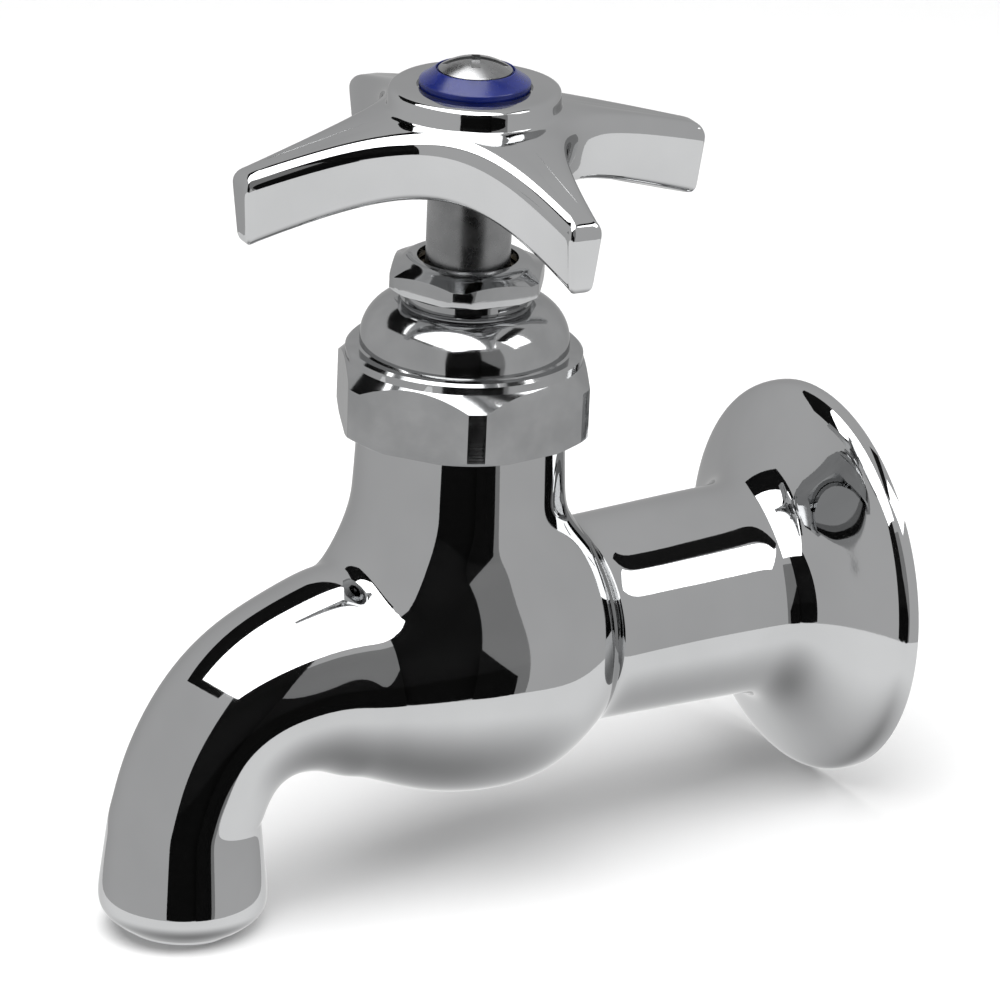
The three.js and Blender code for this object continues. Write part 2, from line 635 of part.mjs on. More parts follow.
// ---- Packing ------------------------------------------------------------------------------------
const PACKING_WASHER_Z = STUFFING_FLOOR + CLEAR;
const PACKING_Z = PACKING_WASHER_Z + PACKING_WASHER_THICK + CLEAR;
const PACKING_PITCH = PACKING_RING_THICK + CLEAR;
const GLAND_Z = PACKING_Z + 2 * PACKING_PITCH;
const PACKING_NUT_Z = DOME_TOP + PACKING_NUT_LIFT;
const PACKING_NUT_TOP = PACKING_NUT_Z + PACKING_NUT_HEIGHT;

const packingGland = () =>
  turned([
    [PACKING_INNER, GLAND_Z],
    [PACKING_OUTER, GLAND_Z],
    [PACKING_OUTER, PACKING_NUT_TOP - PACKING_NUT_LIP - CLEAR],
    [PACKING_INNER, PACKING_NUT_TOP - PACKING_NUT_LIP - CLEAR],
  ]);

const packingNut = () => {
  // The crown is rounded from the corners in to a narrow rim around the stem's hole.
  const rim = NUT_HOLE_R + 0.5;
  const crown = PACKING_NUT_CORNER_R - rim;
  const outline = [
    [0, PACKING_NUT_Z],
    [PACKING_NUT_CORNER_R - CHAMFER, PACKING_NUT_Z],
    [PACKING_NUT_CORNER_R, PACKING_NUT_Z + CHAMFER],
    [PACKING_NUT_CORNER_R, PACKING_NUT_TOP - crown * 0.45],
    ...arc(rim, PACKING_NUT_TOP - crown * 0.64, crown * 0.64, 42, 90, 4),
    [0, PACKING_NUT_TOP],
  ];
  const inside = turned([
    [0, PACKING_NUT_Z - OVERCUT],
    [GLAND_THREAD_R + CLEAR, PACKING_NUT_Z - OVERCUT],
    [GLAND_THREAD_R + CLEAR, PACKING_NUT_TOP - PACKING_NUT_LIP],
    [NUT_HOLE_R, PACKING_NUT_TOP - PACKING_NUT_LIP],
    [NUT_HOLE_R, PACKING_NUT_TOP + OVERCUT],
    [0, PACKING_NUT_TOP + OVERCUT],
  ]);
  const low = PACKING_NUT_Z - OVERCUT;
  const bar = hexBar(PACKING_NUT_FLATS, low, PACKING_NUT_TOP + OVERCUT, PACKING_NUT_TURN);
  return bar.intersect(turned(outline, ROUND_FINE)).subtract(inside);
};

// ---- Spindle and its washer ---------------------------------------------------------------------
const WASHER_Z = SEAT_TOP + CLEAR; // underside of the rubber washer, on the seat
const WASHER_TOP = WASHER_Z + SEAT_WASHER_THICK;
const CUP_FLOOR = WASHER_TOP + CLEAR;
const OPEN_STOP = BONNET_CEILING - CLEAR - SPINDLE_RISE; // thread's upper end, which meets the bonnet
const ARM_ROOT_TOP = HUB_TOP - HUB_RISE;
const HANDLE_UNDER = ARM_ROOT_TOP - ARM_HEIGHT_ROOT;
const SPLINE_TOP = HUB_TOP - SPLINE_BELOW_HUB;
const SPLINE_FOOT = HANDLE_UNDER - CLEAR;

const spindle = () => {
  const cupBore = SEAT_WASHER_R + CLEAR;
  const threadBottom = OPEN_STOP - SPINDLE_THREAD_LENGTH;
  const shaft = turned([
    [0, CUP_FLOOR],
    [cupBore, CUP_FLOOR],
    [cupBore, CUP_FLOOR - CUP_LIP],
    [cupBore + CUP_WALL, CUP_FLOOR - CUP_LIP],
    [cupBore + CUP_WALL, CUP_FLOOR + CUP_HEIGHT],
    [SPINDLE_WAIST_R, CUP_FLOOR + 2 * CUP_HEIGHT],
    [SPINDLE_WAIST_R, threadBottom],
    [SPINDLE_THREAD_R, threadBottom + THREAD_RUNOUT],
    [SPINDLE_THREAD_R, OPEN_STOP - THREAD_RUNOUT],
    [SPINDLE_THREAD_R - THREAD_RUNOUT, OPEN_STOP],
    [STEM_R, OPEN_STOP],
    [STEM_R, SPLINE_FOOT - CHAMFER],
    [STEM_R - CHAMFER, SPLINE_FOOT],
    [SPLINE_R - SPLINE_DEPTH, SPLINE_FOOT],
    [SPLINE_R - SPLINE_DEPTH, SPLINE_TOP],
    [0, SPLINE_TOP],
  ]);
  const teeth = new THREE.Shape(
    Array.from({ length: 2 * SPLINE_TEETH }, (_, i) => {
      const angle = (i * Math.PI) / SPLINE_TEETH;
      const r = i % 2 ? SPLINE_R - SPLINE_DEPTH : SPLINE_R;
      return new THREE.Vector2(r * Math.cos(angle), r * Math.sin(angle));
    }),
  );
  const depth = SPLINE_TOP - SPLINE_FOOT + CHAMFER / 2;
  const spline = new THREE.ExtrudeGeometry(teeth, { depth, bevelEnabled: false });
  const washerScrewTop = CUP_FLOOR + WASHER_SCREW_LENGTH;
  return shaft
    .add(toSolid(spline.translate(0, 0, SPLINE_TOP - depth)))
    .subtract(rod(SCREW_SHANK_R + CLEAR, SPLINE_TOP - SCREW_LENGTH, SPLINE_TOP + OVERCUT))
    .subtract(rod(WASHER_SCREW_R + CLEAR, CUP_FLOOR - OVERCUT, washerScrewTop));
};

const washerScrew = () => {
  const under = WASHER_Z - CLEAR;
  const head = under - WASHER_SCREW_HEAD;
  const tip = CUP_FLOOR + WASHER_SCREW_LENGTH - OVERCUT;
  const outline = [
    [0, head],
    [WASHER_SCREW_HEAD_R - CHAMFER, head],
    [WASHER_SCREW_HEAD_R, head + CHAMFER],
    [WASHER_SCREW_HEAD_R, under],
    [WASHER_SCREW_R, under],
    [WASHER_SCREW_R, tip],
    [0, tip],
  ];
  const side = WASHER_SCREW_SLOT / 2;
  const reach = WASHER_SCREW_HEAD_R + OVERCUT;
  const slot = block(-side, side, -reach, reach, head - OVERCUT, head + WASHER_SCREW_HEAD / 2);
  return turned(outline, ROUND_SMALL).subtract(slot);
};

// ---- Handle -------------------------------------------------------------------------------------
const WEB_POINTS = 8; // points along the curve between two arms
const QUARTER_POINTS = WEB_POINTS + 4; // with the four that turn round an arm's tip

// One ring of the four-armed outline, shrunk by inset, at a height that depends on the radius.
const starRing = (inset, heightAt) => {
  const reach = ARM_REACH - inset;
  const half = ARM_TIP_HALF - inset;
  const web = WEB_R - inset;
  const corner = ARM_CORNER;
  // Along the diagonal between two arms the outline is a hyperbola that runs out to the arms' tips.
  const far = (reach - corner + half) / Math.SQRT2;
  const side = (reach - corner - half) / Math.SQRT2;
  const spread = Math.sqrt(far * far - web * web) / side;
  const quarter = [
    [reach, -half + corner * 0.9],
    [reach, half - corner * 0.9],
    [reach - corner * 0.2, half - corner * 0.2],
    ...Array.from({ length: WEB_POINTS }, (_, i) => {
      const v = side * (1 - (2 * i) / (WEB_POINTS - 1));
      const u = Math.hypot(web, spread * v);
      return [(u + v) / Math.SQRT2, (u - v) / Math.SQRT2];
    }),
    [half - corner * 0.2, reach - corner * 0.2],
  ];
  return Array.from({ length: 4 }, (_, k) => (k * Math.PI) / 2).flatMap((turn) =>
    quarter.map(([x, y]) => {
      const px = x * Math.cos(turn) - y * Math.sin(turn);
      const py = x * Math.sin(turn) + y * Math.cos(turn);
      return new THREE.Vector3(px, py, heightAt(Math.hypot(px, py)));
    }),
  );
};

// A round ring with its points at the same bearings as the outline's.
const roundRing = (radius, z) =>
  starRing(0, () => z).map((p) => {
    const bearing = Math.atan2(p.y, p.x);
    return new THREE.Vector3(radius * Math.cos(bearing), radius * Math.sin(bearing), z);
  });

const handle = () => {
  const out = (r) => Math.max(0, (r - HUB_R) / (ARM_REACH - HUB_R));
  const top = (r) => ARM_ROOT_TOP - ARM_TIP_DROP * out(r) ** 1.2;
  const height = (r) => ARM_HEIGHT_ROOT + (ARM_HEIGHT_TIP - ARM_HEIGHT_ROOT) * out(r);
  const bottom = (r) => top(r) - height(r);
  const rings = [
    roundRing(HUB_R - 1, HUB_TOP),
    roundRing(HUB_R - 0.2, HUB_TOP - 0.3),
    roundRing(HUB_R, HUB_TOP - 1),
    roundRing(HUB_R, ARM_ROOT_TOP + 0.5),
    roundRing(HUB_R + 0.5, ARM_ROOT_TOP),
    starRing(HANDLE_EDGE, top),
    starRing(HANDLE_EDGE * 0.3, (r) => top(r) - HANDLE_EDGE * 0.3),
    starRing(0, (r) => top(r) - HANDLE_EDGE),
    starRing(ARM_DRAFT, (r) => bottom(r) + HANDLE_EDGE),
    starRing(ARM_DRAFT + HANDLE_EDGE * 0.3, (r) => bottom(r) + HANDLE_EDGE * 0.3),
    starRing(ARM_DRAFT + HANDLE_EDGE * 0.9, bottom),
    roundRing(SPLINE_R + HANDLE_FLOOR_WALL, bottom(0)),
  ];
  const points = rings.flat();
  const n = rings[0].length;
  const faces = rings.slice(1).flatMap((_, i) =>
    Array.from({ length: n }, (_, j) => {
      const next = (j + 1) % n;
      return [i * n + j, (i + 1) * n + j, (i + 1) * n + next, i * n + next];
    }),
  );
  const cap = Array.from({ length: n }, (_, j) => j);
  faces.push(cap, cap.map((j) => rings.length * n - 1 - j));
  const shell = cageSolid({ points, faces }, 0);
  const socket = rod(SPLINE_R + CLEAR, bottom(0) - OVERCUT, SPLINE_TOP + CLEAR, ROUND_SMALL);
  const screwHole = rod(SCREW_SHANK_R + CLEAR, SPLINE_TOP - OVERCUT, HUB_TOP + OVERCUT);
  const indexSeat = rod(INDEX_BASE_R + CLEAR, HUB_TOP - INDEX_SEAT, HUB_TOP + OVERCUT, ROUND);
  return shell.subtract(socket).subtract(screwHole).subtract(indexSeat).rotate([0, 0, HANDLE_TURN]);
};

const INDEX_Z = HUB_TOP - INDEX_SEAT + CLEAR;
const HEAD_RIM_Z = INDEX_Z + INDEX_HEIGHT;
const CONE_FOOT_Z = INDEX_Z + 1; // where the ring's hole starts to open out for the screw's head

const indexRing = () => {
  const edge = CHAMFER / 2;
  return turned([
    [SCREW_SHANK_R + CLEAR, INDEX_Z],
    [INDEX_BASE_R, INDEX_Z],
    [INDEX_BASE_R, INDEX_Z + INDEX_EDGE - edge],
    [INDEX_BASE_R - edge, INDEX_Z + INDEX_EDGE],
    [INDEX_TOP_R, HEAD_RIM_Z - edge],
    [INDEX_TOP_R - edge / 2, HEAD_RIM_Z],
    [SCREW_HEAD_R + CLEAR, HEAD_RIM_Z],
    [SCREW_HEAD_R + CLEAR, HEAD_RIM_Z - 2 * edge],
    [SCREW_SHANK_R + CLEAR, CONE_FOOT_Z],
  ]);
};

const handleScrew = () => {
  const crownRadius = (SCREW_HEAD_R ** 2 + SCREW_HEAD_CROWN ** 2) / (2 * SCREW_HEAD_CROWN);
  const halfAngle = THREE.MathUtils.radToDeg(Math.asin(SCREW_HEAD_R / crownRadius));
  const crownCentre = HEAD_RIM_Z + SCREW_HEAD_CROWN - crownRadius;
  const tip = SPLINE_TOP - SCREW_LENGTH + OVERCUT;
  const body = turned([
    [0, tip],
    [SCREW_SHANK_R, tip],
    [SCREW_SHANK_R, CONE_FOOT_Z + 1.3 * CLEAR],
    [SCREW_HEAD_R, HEAD_RIM_Z - CHAMFER / 2],
    ...arc(0, crownCentre, crownRadius, 90 - halfAngle, 90, 6),
  ]);
  const floor = HEAD_RIM_Z + SCREW_HEAD_CROWN - DRIVE_DEPTH;
  const over = floor + 2 * DRIVE_DEPTH;
  const side = DRIVE_WIDTH / 2;
  const reach = SCREW_HEAD_R + OVERCUT;
  const wing = SCREW_HEAD_R * 0.55;
  const slot = block(-side, side, -reach, reach, floor, over);
  const cross = block(-wing, wing, -side, side, floor, over);
  return body.subtract(slot.add(cross).rotate([0, 0, DRIVE_TURN]));
};

// ---- Assembly -----------------------------------------------------------------------------------
const faucet = new THREE.Group();
const stem = new THREE.Group(); // everything on the stem axis
stem.position.set(0, STEM_Y, 0);
faucet.add(stem);

const place = (parent, name, solid, material) => {
  const mesh = new THREE.Mesh(toGeometry(solid), material);
  mesh.name = name;
  parent.add(mesh);
};

place(faucet, "faucet_body", castBody(), polishedChrome);
place(
  stem,
  "seat_gasket",
  ring(SEAT_R + CLEAR, SEAT_FLANGE_R, SEAT_GASKET_Z, SEAT_GASKET_Z + GASKET_THICK),
  fibre,
);
place(stem, "valve_seat", seatRing(), rawBrass);
place(stem, "cartridge_sleeve", cartridgeSleeve(), rawBrass);
place(stem, "sleeve_o_ring", sleeveORing(), blackRubber);
place(
  stem,
  "bonnet_gasket",
  ring(NECK_BORE_R, SLEEVE_FLANGE_R, SLEEVE_GASKET_Z, SLEEVE_GASKET_Z + GASKET_THICK),
  fibre,
);
place(stem, "bonnet", bonnet(), turnedChrome);
place(
  stem,
  "packing_washer",
  ring(PACKING_INNER, PACKING_OUTER, PACKING_WASHER_Z, PACKING_WASHER_Z + PACKING_WASHER_THICK),
  rawBrass,
);
["packing_ring_lower", "packing_ring_upper"].forEach((name, i) => {
  const low = PACKING_Z + i * PACKING_PITCH;
  place(stem, name, ring(PACKING_INNER, PACKING_OUTER, low, low + PACKING_RING_THICK), packingWhite);
});
place(stem, "packing_gland", packingGland(), rawBrass);
place(stem, "packing_nut", packingNut(), turnedChrome);
place(stem, "spindle", spindle(), turnedChrome);
place(
  stem,
  "seat_washer",
  ring(WASHER_SCREW_R + CLEAR, SEAT_WASHER_R, WASHER_Z, WASHER_TOP),
  blackRubber,
);
place(stem, "washer_screw", washerScrew(), rawBrass);
place(stem, "handle", handle(), polishedChrome);
place(stem, "index_ring", indexRing(), bluePlastic);
place(stem, "handle_screw", handleScrew(), turnedChrome);

export default faucet;
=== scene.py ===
import math

import bmesh
import bpy
from mathutils import Matrix, Vector


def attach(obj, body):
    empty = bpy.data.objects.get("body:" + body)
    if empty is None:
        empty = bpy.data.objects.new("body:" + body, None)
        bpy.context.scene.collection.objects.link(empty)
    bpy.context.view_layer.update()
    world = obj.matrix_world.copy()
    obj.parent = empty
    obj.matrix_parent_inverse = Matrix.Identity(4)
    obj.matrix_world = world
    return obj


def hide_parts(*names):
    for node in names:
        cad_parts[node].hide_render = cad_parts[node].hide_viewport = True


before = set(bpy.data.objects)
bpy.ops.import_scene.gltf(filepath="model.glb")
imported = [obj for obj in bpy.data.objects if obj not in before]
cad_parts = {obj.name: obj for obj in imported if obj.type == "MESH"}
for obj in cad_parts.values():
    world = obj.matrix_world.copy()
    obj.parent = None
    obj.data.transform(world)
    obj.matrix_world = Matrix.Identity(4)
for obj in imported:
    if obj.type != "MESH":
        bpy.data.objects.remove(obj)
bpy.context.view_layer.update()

MM = 0.001
STEM_Y = -59.6  # stem axis, off the wall
OUTLET_Y = -101.6
ROUND_SIDES = 96
BODY = "valve_body"
SPINDLE = "spindle_and_handle"


# ---- Working by hand in edit mode ------------------------------------------------------------------------
def mm(x, y, z):
    return Vector((x, y, z)) * MM


def clear_selection():
    if bpy.context.object and bpy.context.object.mode != "OBJECT":
        bpy.ops.object.mode_set(mode="OBJECT")
    bpy.ops.object.select_all(action="DESELECT")


def choose(piece):
    """Makes a piece the only one selected, ready for the next operator."""
    clear_selection()
    piece.select_set(True)
    bpy.context.view_layer.objects.active = piece


def settle(piece):
    """Sets a piece's place into its mesh, which leaves the piece at the origin, unturned."""
    choose(piece)
    bpy.ops.object.transform_apply(location=True, rotation=True, scale=True)
    return piece


def start(name):
    """Names the primitive just added, sets its place into its mesh and opens it for editing."""
    piece = bpy.context.object
    piece.name = name
    piece.data.name = name
    bpy.ops.object.transform_apply(location=True, rotation=True, scale=True)
    bpy.ops.object.mode_set(mode="EDIT")
    return piece


def finish(piece):
    """Welds, turns the faces outwards and leaves edit mode."""
    bpy.ops.mesh.select_all(action="SELECT")
    bpy.ops.mesh.remove_doubles(threshold=0.5e-6)
    bpy.ops.mesh.normals_make_consistent(inside=False)
    bpy.ops.object.mode_set(mode="OBJECT")
    return piece


def pick(piece, wanted, kind="verts"):
    """Selects the vertices, edges or faces whose element passes the test, and nothing else."""
    modes = {"verts": "VERT", "edges": "EDGE", "faces": "FACE"}
    bpy.ops.mesh.select_all(action="DESELECT")
    bpy.ops.mesh.select_mode(type=modes[kind])
    shape = bmesh.from_edit_mesh(piece.data)
    for element in getattr(shape, kind):
        element.select_set(bool(wanted(element)))
    shape.select_flush_mode()
    bmesh.update_edit_mesh(piece.data)


def move(offset):
    bpy.ops.transform.translate(value=offset)


def scale(factors, centre):
    bpy.ops.transform.resize(value=factors, center_override=centre)


def tip(degrees, centre):
    """Leans the selection forwards, its top towards -Y."""
    turn = math.radians(degrees)
    bpy.ops.transform.rotate(value=turn, orient_axis="X", orient_type="GLOBAL", center_override=centre)


def extrude(offset):
    bpy.ops.mesh.extrude_region_move(TRANSFORM_OT_translate={"value": offset})


def modify(piece, kind, **settings):
    choose(piece)
    modifier = piece.modifiers.new(kind.lower(), kind)
    for key, value in settings.items():
        setattr(modifier, key, value)
    bpy.ops.object.modifier_apply(modifier=modifier.name)


def combine(piece, tool, how):
    """Adds, cuts or keeps the common part with a tool solid, which is used up."""
    modify(piece, "BOOLEAN", operation=how, object=tool, solver="EXACT")
    bpy.data.objects.remove(tool)


def smooth(piece, degrees=30):
    choose(piece)
    bpy.ops.object.shade_smooth_by_angle(angle=math.radians(degrees))


def ease(piece, width, segments=2, degrees=28):
    """Breaks the sharp edges."""
    modify(
        piece, "BEVEL", width=width * MM, segments=segments, limit_method="ANGLE",
        angle_limit=math.radians(degrees), harden_normals=False, use_clamp_overlap=True,
    )


def turned(name, outline, sides=ROUND_SIDES, centre=(0, STEM_Y), bored=False):
    """A turned solid about a vertical axis.

    The outline lists radius and height, and a bored one closes on itself.
    """
    clear_selection()
    (first_r, first_z), *rest = outline
    bpy.ops.mesh.primitive_circle_add(
        vertices=sides, radius=first_r * MM, location=mm(*centre, first_z), fill_type="NOTHING"
    )
    piece = start(name)
    r, z = first_r, first_z
    for next_r, next_z in rest:
        extrude(mm(0, 0, next_z - z))
        scale((next_r / r, next_r / r, 1), mm(*centre, next_z))
        r, z = next_r, next_z
    pick(piece, lambda edge: edge.is_boundary, "edges")
    if bored:
        bpy.ops.mesh.bridge_edge_loops()
    else:
        bpy.ops.mesh.fill_holes(sides=0)
    return finish(piece)


def rod(name, radius, low, high, sides=ROUND_SIDES, centre=(0, STEM_Y)):
    return turned(name, [(radius, low), (radius, high)], sides, centre)


def arc(r, z, radius, start_angle, end_angle, steps):
    angles = [math.radians(start_angle + (end_angle - start_angle) * i / steps) for i in range(steps + 1)]
    return [(r + radius * math.cos(a), z + radius * math.sin(a)) for a in angles]


def hexagon(name, flats, low, high, bearing):
    """A hexagonal bar on the stem axis, one corner at the bearing."""
    clear_selection()
    bpy.ops.mesh.primitive_cylinder_add(
        vertices=6, radius=flats / math.sqrt(3) * MM, depth=(high - low) * MM,
        location=mm(0, STEM_Y, (low + high) / 2), rotation=(0, 0, math.radians(bearing - 30)),
    )
    return finish(start(name))


def block(name, size, centre, turn=0):
    clear_selection()
    bpy.ops.mesh.primitive_cube_add(size=1, location=mm(*centre), rotation=(0, 0, math.radians(turn)))
    bpy.context.object.scale = mm(*size)
    return finish(start(name))


def coil(name, radius, height, low, pitch, turns, sink, axis="Z", centre=(0, STEM_Y, 0)):
    """A thread's ridge: a small triangle carried round the axis as it climbs."""
    clear_selection()
    bpy.ops.mesh.primitive_circle_add(vertices=3, radius=1, fill_type="NGON", rotation=(math.pi / 2, 0, 0))
    piece = start(name)
    base = radius - sink if height > 0 else radius + sink
    corners = [(base, -pitch * 0.46), (base, pitch * 0.46), (radius + height, 0)]
    for k, (r, z) in enumerate(corners):
        pick(piece, lambda v, k=k: v.index == k)
        here = bmesh.from_edit_mesh(piece.data).verts
        here.ensure_lookup_table()
        move(mm(r, 0, low + z) - here[k].co)
    bpy.ops.object.mode_set(mode="OBJECT")
    modify(
        piece, "SCREW", axis="Z", steps=48, render_steps=48, iterations=turns,
        screw_offset=pitch * MM, use_merge_vertices=False, use_smooth_shade=False,
    )
    bpy.ops.object.mode_set(mode="EDIT")
    pick(piece, lambda edge: edge.is_boundary, "edges")
    bpy.ops.mesh.fill_holes(sides=0)
    finish(piece)
    if axis == "Y":
        piece.rotation_euler = (math.pi / 2, 0, 0)
    piece.location = mm(*centre)
    return settle(piece)


# ---- Finishes --------------------------------------------------------------------------------------------
class Finish:
    """A node material being put together."""

    def __init__(self, name):
        self.material = bpy.data.materials.new(name)
        self.material.use_nodes = True
        self.tree = self.material.node_tree
        self.shader = self.tree.nodes["Principled BSDF"]

    def node(self, kind, **settings):
        made = self.tree.nodes.new(kind)
        for key, value in settings.items():
            if key in made.inputs:
                made.inputs[key].default_value = value
            else:
                setattr(made, key, value)
        return made

    def join(self, source, target):
        self.tree.links.new(source, target)

    def place(self, centre=(0, 0, 0)):
        """Object coordinates measured from a centre."""
        coordinates = self.node("ShaderNodeTexCoord")
        mapping = self.node("ShaderNodeMapping")
        mapping.inputs["Location"].default_value = -mm(*centre)
        self.join(coordinates.outputs["Object"], mapping.inputs["Vector"])
        return mapping.outputs["Vector"]

    def noise(self, vector, size, detail=3.0, distortion=0.0):
        """Noise whose features are about size millimetres across."""
        made = self.node("ShaderNodeTexNoise", Scale=1 / (size * MM), Detail=detail, Distortion=distortion)
        self.join(vector, made.inputs["Vector"])
        return made.outputs["Fac"]

    def roughen(self, vector, size, low, high):
        """Roughness that wanders between two values over patches about size millimetres across."""
        spread = self.node("ShaderNodeMapRange")
        spread.inputs["From Min"].default_value = 0.3
        spread.inputs["From Max"].default_value = 0.7
        spread.inputs["To Min"].default_value = low
        spread.inputs["To Max"].default_value = high
        self.join(self.noise(vector, size, 5.0), spread.inputs["Value"])
        self.join(spread.outputs["Result"], self.shader.inputs["Roughness"])

    def tint(self, factor, first, second):
        ramp = self.node("ShaderNodeValToRGB")
        for stop, (position, colour) in zip(ramp.color_ramp.elements, ((0.35, first), (0.65, second))):
            stop.position = position
            stop.color = (*colour, 1)
        self.join(factor, ramp.inputs["Fac"])
        self.join(ramp.outputs["Color"], self.shader.inputs["Base Color"])

    def relief(self, height, depth, strength=1.0, under=None):
        """A bump of depth millimetres, laid over another if one is given."""
        bump = self.node("ShaderNodeBump", Strength=strength, Distance=depth * MM)
        self.join(height, bump.inputs["Height"])
        if under is not None:
            self.join(under, bump.inputs["Normal"])
        self.join(bump.outputs["Normal"], self.shader.inputs["Normal"])
        return bump.outputs["Normal"]

    def lathe_lines(self, vector, pitch):
        """Fine rings round a vertical axis through the origin of the vector."""
        split = self.node("ShaderNodeSeparateXYZ")
        self.join(vector, split.inputs["Vector"])
        flat = self.node("ShaderNodeCombineXYZ")
        self.join(split.outputs["X"], flat.inputs["X"])
        self.join(split.outputs["Y"], flat.inputs["Y"])
        radius = self.node("ShaderNodeVectorMath", operation="LENGTH")
        self.join(flat.outputs["Vector"], radius.inputs[0])
        along = self.node("ShaderNodeCombineXYZ")
        self.join(radius.outputs["Value"], along.inputs["X"])
        self.join(split.outputs["Z"], along.inputs["Z"])
        return self.noise(along.outputs["Vector"], pitch, detail=4.0)


EDGE_TINT = (0.72, 0.72, 0.72, 1)  # chrome darkens a little where it turns away
ON_STEM = (0, STEM_Y, 0)


def metal(name, centre, plated=False):
    """A metal finish to build on, and its coordinates."""
    coat = Finish(name)
    coat.shader.inputs["Metallic"].default_value = 1.0
    if plated:
        coat.shader.inputs["Specular Tint"].default_value = EDGE_TINT
    return coat, coat.place(centre)


def polished_chrome(name, ripple, centre=ON_STEM):
    coat, place = metal(name, centre, plated=True)
    coat.tint(coat.noise(place, 18), (0.53, 0.535, 0.54), (0.57, 0.575, 0.58))
    coat.roughen(place, 9, 0.015, 0.05)
    under = coat.relief(coat.noise(place, 14, 1.0), ripple)
    coat.relief(coat.noise(place, 0.5, 2.0), 0.0006, 1.0, under)
    return coat.material


def turned_chrome(name):
    coat, place = metal(name, ON_STEM, plated=True)
    coat.tint(coat.noise(place, 8), (0.42, 0.425, 0.43), (0.50, 0.505, 0.51))
    coat.roughen(place, 4, 0.05, 0.13)
    coat.relief(coat.lathe_lines(place, 0.25), 0.004)
    return coat.material


def satin_steel(name):
    coat, place = metal(name, ON_STEM)
    coat.tint(coat.noise(place, 6), (0.27, 0.272, 0.275), (0.35, 0.352, 0.355))
    coat.roughen(place, 2, 0.22, 0.34)
    coat.relief(coat.lathe_lines(place, 0.12), 0.004)
    return coat.material


def moulded(name, first, second, low, high, grain, depth):
    """Plastic, rubber, fibre or packing."""
    coat = Finish(name)
    place = coat.place(ON_STEM)
    coat.tint(coat.noise(place, 5), first, second)
    coat.roughen(place, 3, low, high)
    coat.relief(coat.noise(place, grain, 4.0), depth)
    return coat.material


def raw_brass(name, first, second):
    coat, place = metal(name, ON_STEM)
    coat.tint(coat.noise(place, 5), first, second)
    coat.roughen(place, 2, 0.22, 0.36)
    coat.relief(coat.lathe_lines(place, 0.2), 0.006)
    return coat.material


def dress(piece, material, body, slot, *nodes):
    """Gives a finished piece its material and its body, and hides the CAD nodes it stands for. The slot is
    not used.
    """
    piece.data.materials.clear()
    piece.data.materials.append(material)
    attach(piece, body)
    if nodes:
        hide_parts(*nodes)


# ---- The casting -----------------------------------------------------------------------------------------
SIDES = 16
CAGE_GROWTH = 1.026  # a smoothed cage shrinks by this much
FLANGE_R = 28.5
FLANGE_DEPTH = 13
TUBE_R = 15.1
WAIST_R = 14.6
GLOBE_R = 21.6
GLOBE_HALF = 16.2
SPOUT_R = 10.6
CROWN_DROP = 1.7
OUTLET_R = 11.9
OUTLET_Z = -34.6
LIP_R = 8.1
LIP_HEIGHT = 0.9
OUTLET_BORE_R = 6.4
NECK_R = 14.4
NECK_TOP = 35.2
NECK_BORE_R = 11
SPIGOT_R = 13.3
INLET_BORE_R = 9.4
INLET_WAY_R = 6
WAIST_Y = STEM_Y + GLOBE_HALF + 2.2


def casting_sections():
    """Centre y and z, radius, lean and width of each section from the wall to the outlet."""
    bulge = FLANGE_R - TUBE_R
    flange = [
        (3, 0.93), (0.6, 1), (-1.6, 1), (-2.9, 0.955), (-4.3, 0.8), (-6, 0.56), (-7.9, 0.31), (-10, 0.115),
    ]
    sections = [(y, 0, TUBE_R + bulge * share, 0, 1) for y, share in flange]
    sections += [
        (-FLANGE_DEPTH, 0, TUBE_R, 0, 1),
        (-FLANGE_DEPTH - 4, 0, TUBE_R, 0, 1),
        ((WAIST_Y - FLANGE_DEPTH) / 2, -0.2, (TUBE_R + WAIST_R) / 2, 0, 1),
        (WAIST_Y + 4, -0.4, WAIST_R, 0, 1),
        (WAIST_Y, -0.5, WAIST_R, 0, 1),
    ]
    swell = GLOBE_R - TUBE_R
    globe = [
        (1, 0.33, -0.7, 1.14), (0.52, 0.94, 0.2, 1.04), (0, 1.02, 0.2, 1), (-0.5, 0.74, 0.7, 1),
        (-1, 0, 1.9, 1.02),
    ]
    sections += [
        (STEM_Y + GLOBE_HALF * along, -drop, TUBE_R + swell * share, 0, width)
        for along, share, drop, width in globe
    ]
    crown = STEM_Y - GLOBE_HALF
    run = crown - OUTLET_Y
    spout = [
        (0.13, 0, 15.0, 0), (0.31, 0.1, 13.4, 6), (0.55, 1.7, 12.2, 22), (0.73, 4.6, 11.3, 40),
        (0.86, 8.6, 10.7, 58), (0.945, 13.2, SPOUT_R, 72), (0.985, 17, SPOUT_R, 84),
    ]
    sections += [(crown - run * share, -CROWN_DROP - drop, r, lean, 1) for share, drop, r, lean in spout]
    boss = [(15.1, 0.895), (12.6, 0.915), (6, 0.98), (2.6, 1.005), (0.9, 0.9), (-1.4, 0.62)]
    sections += [(OUTLET_Y, OUTLET_Z + up, OUTLET_R * share, 90, 1) for up, share in boss]
    return sections


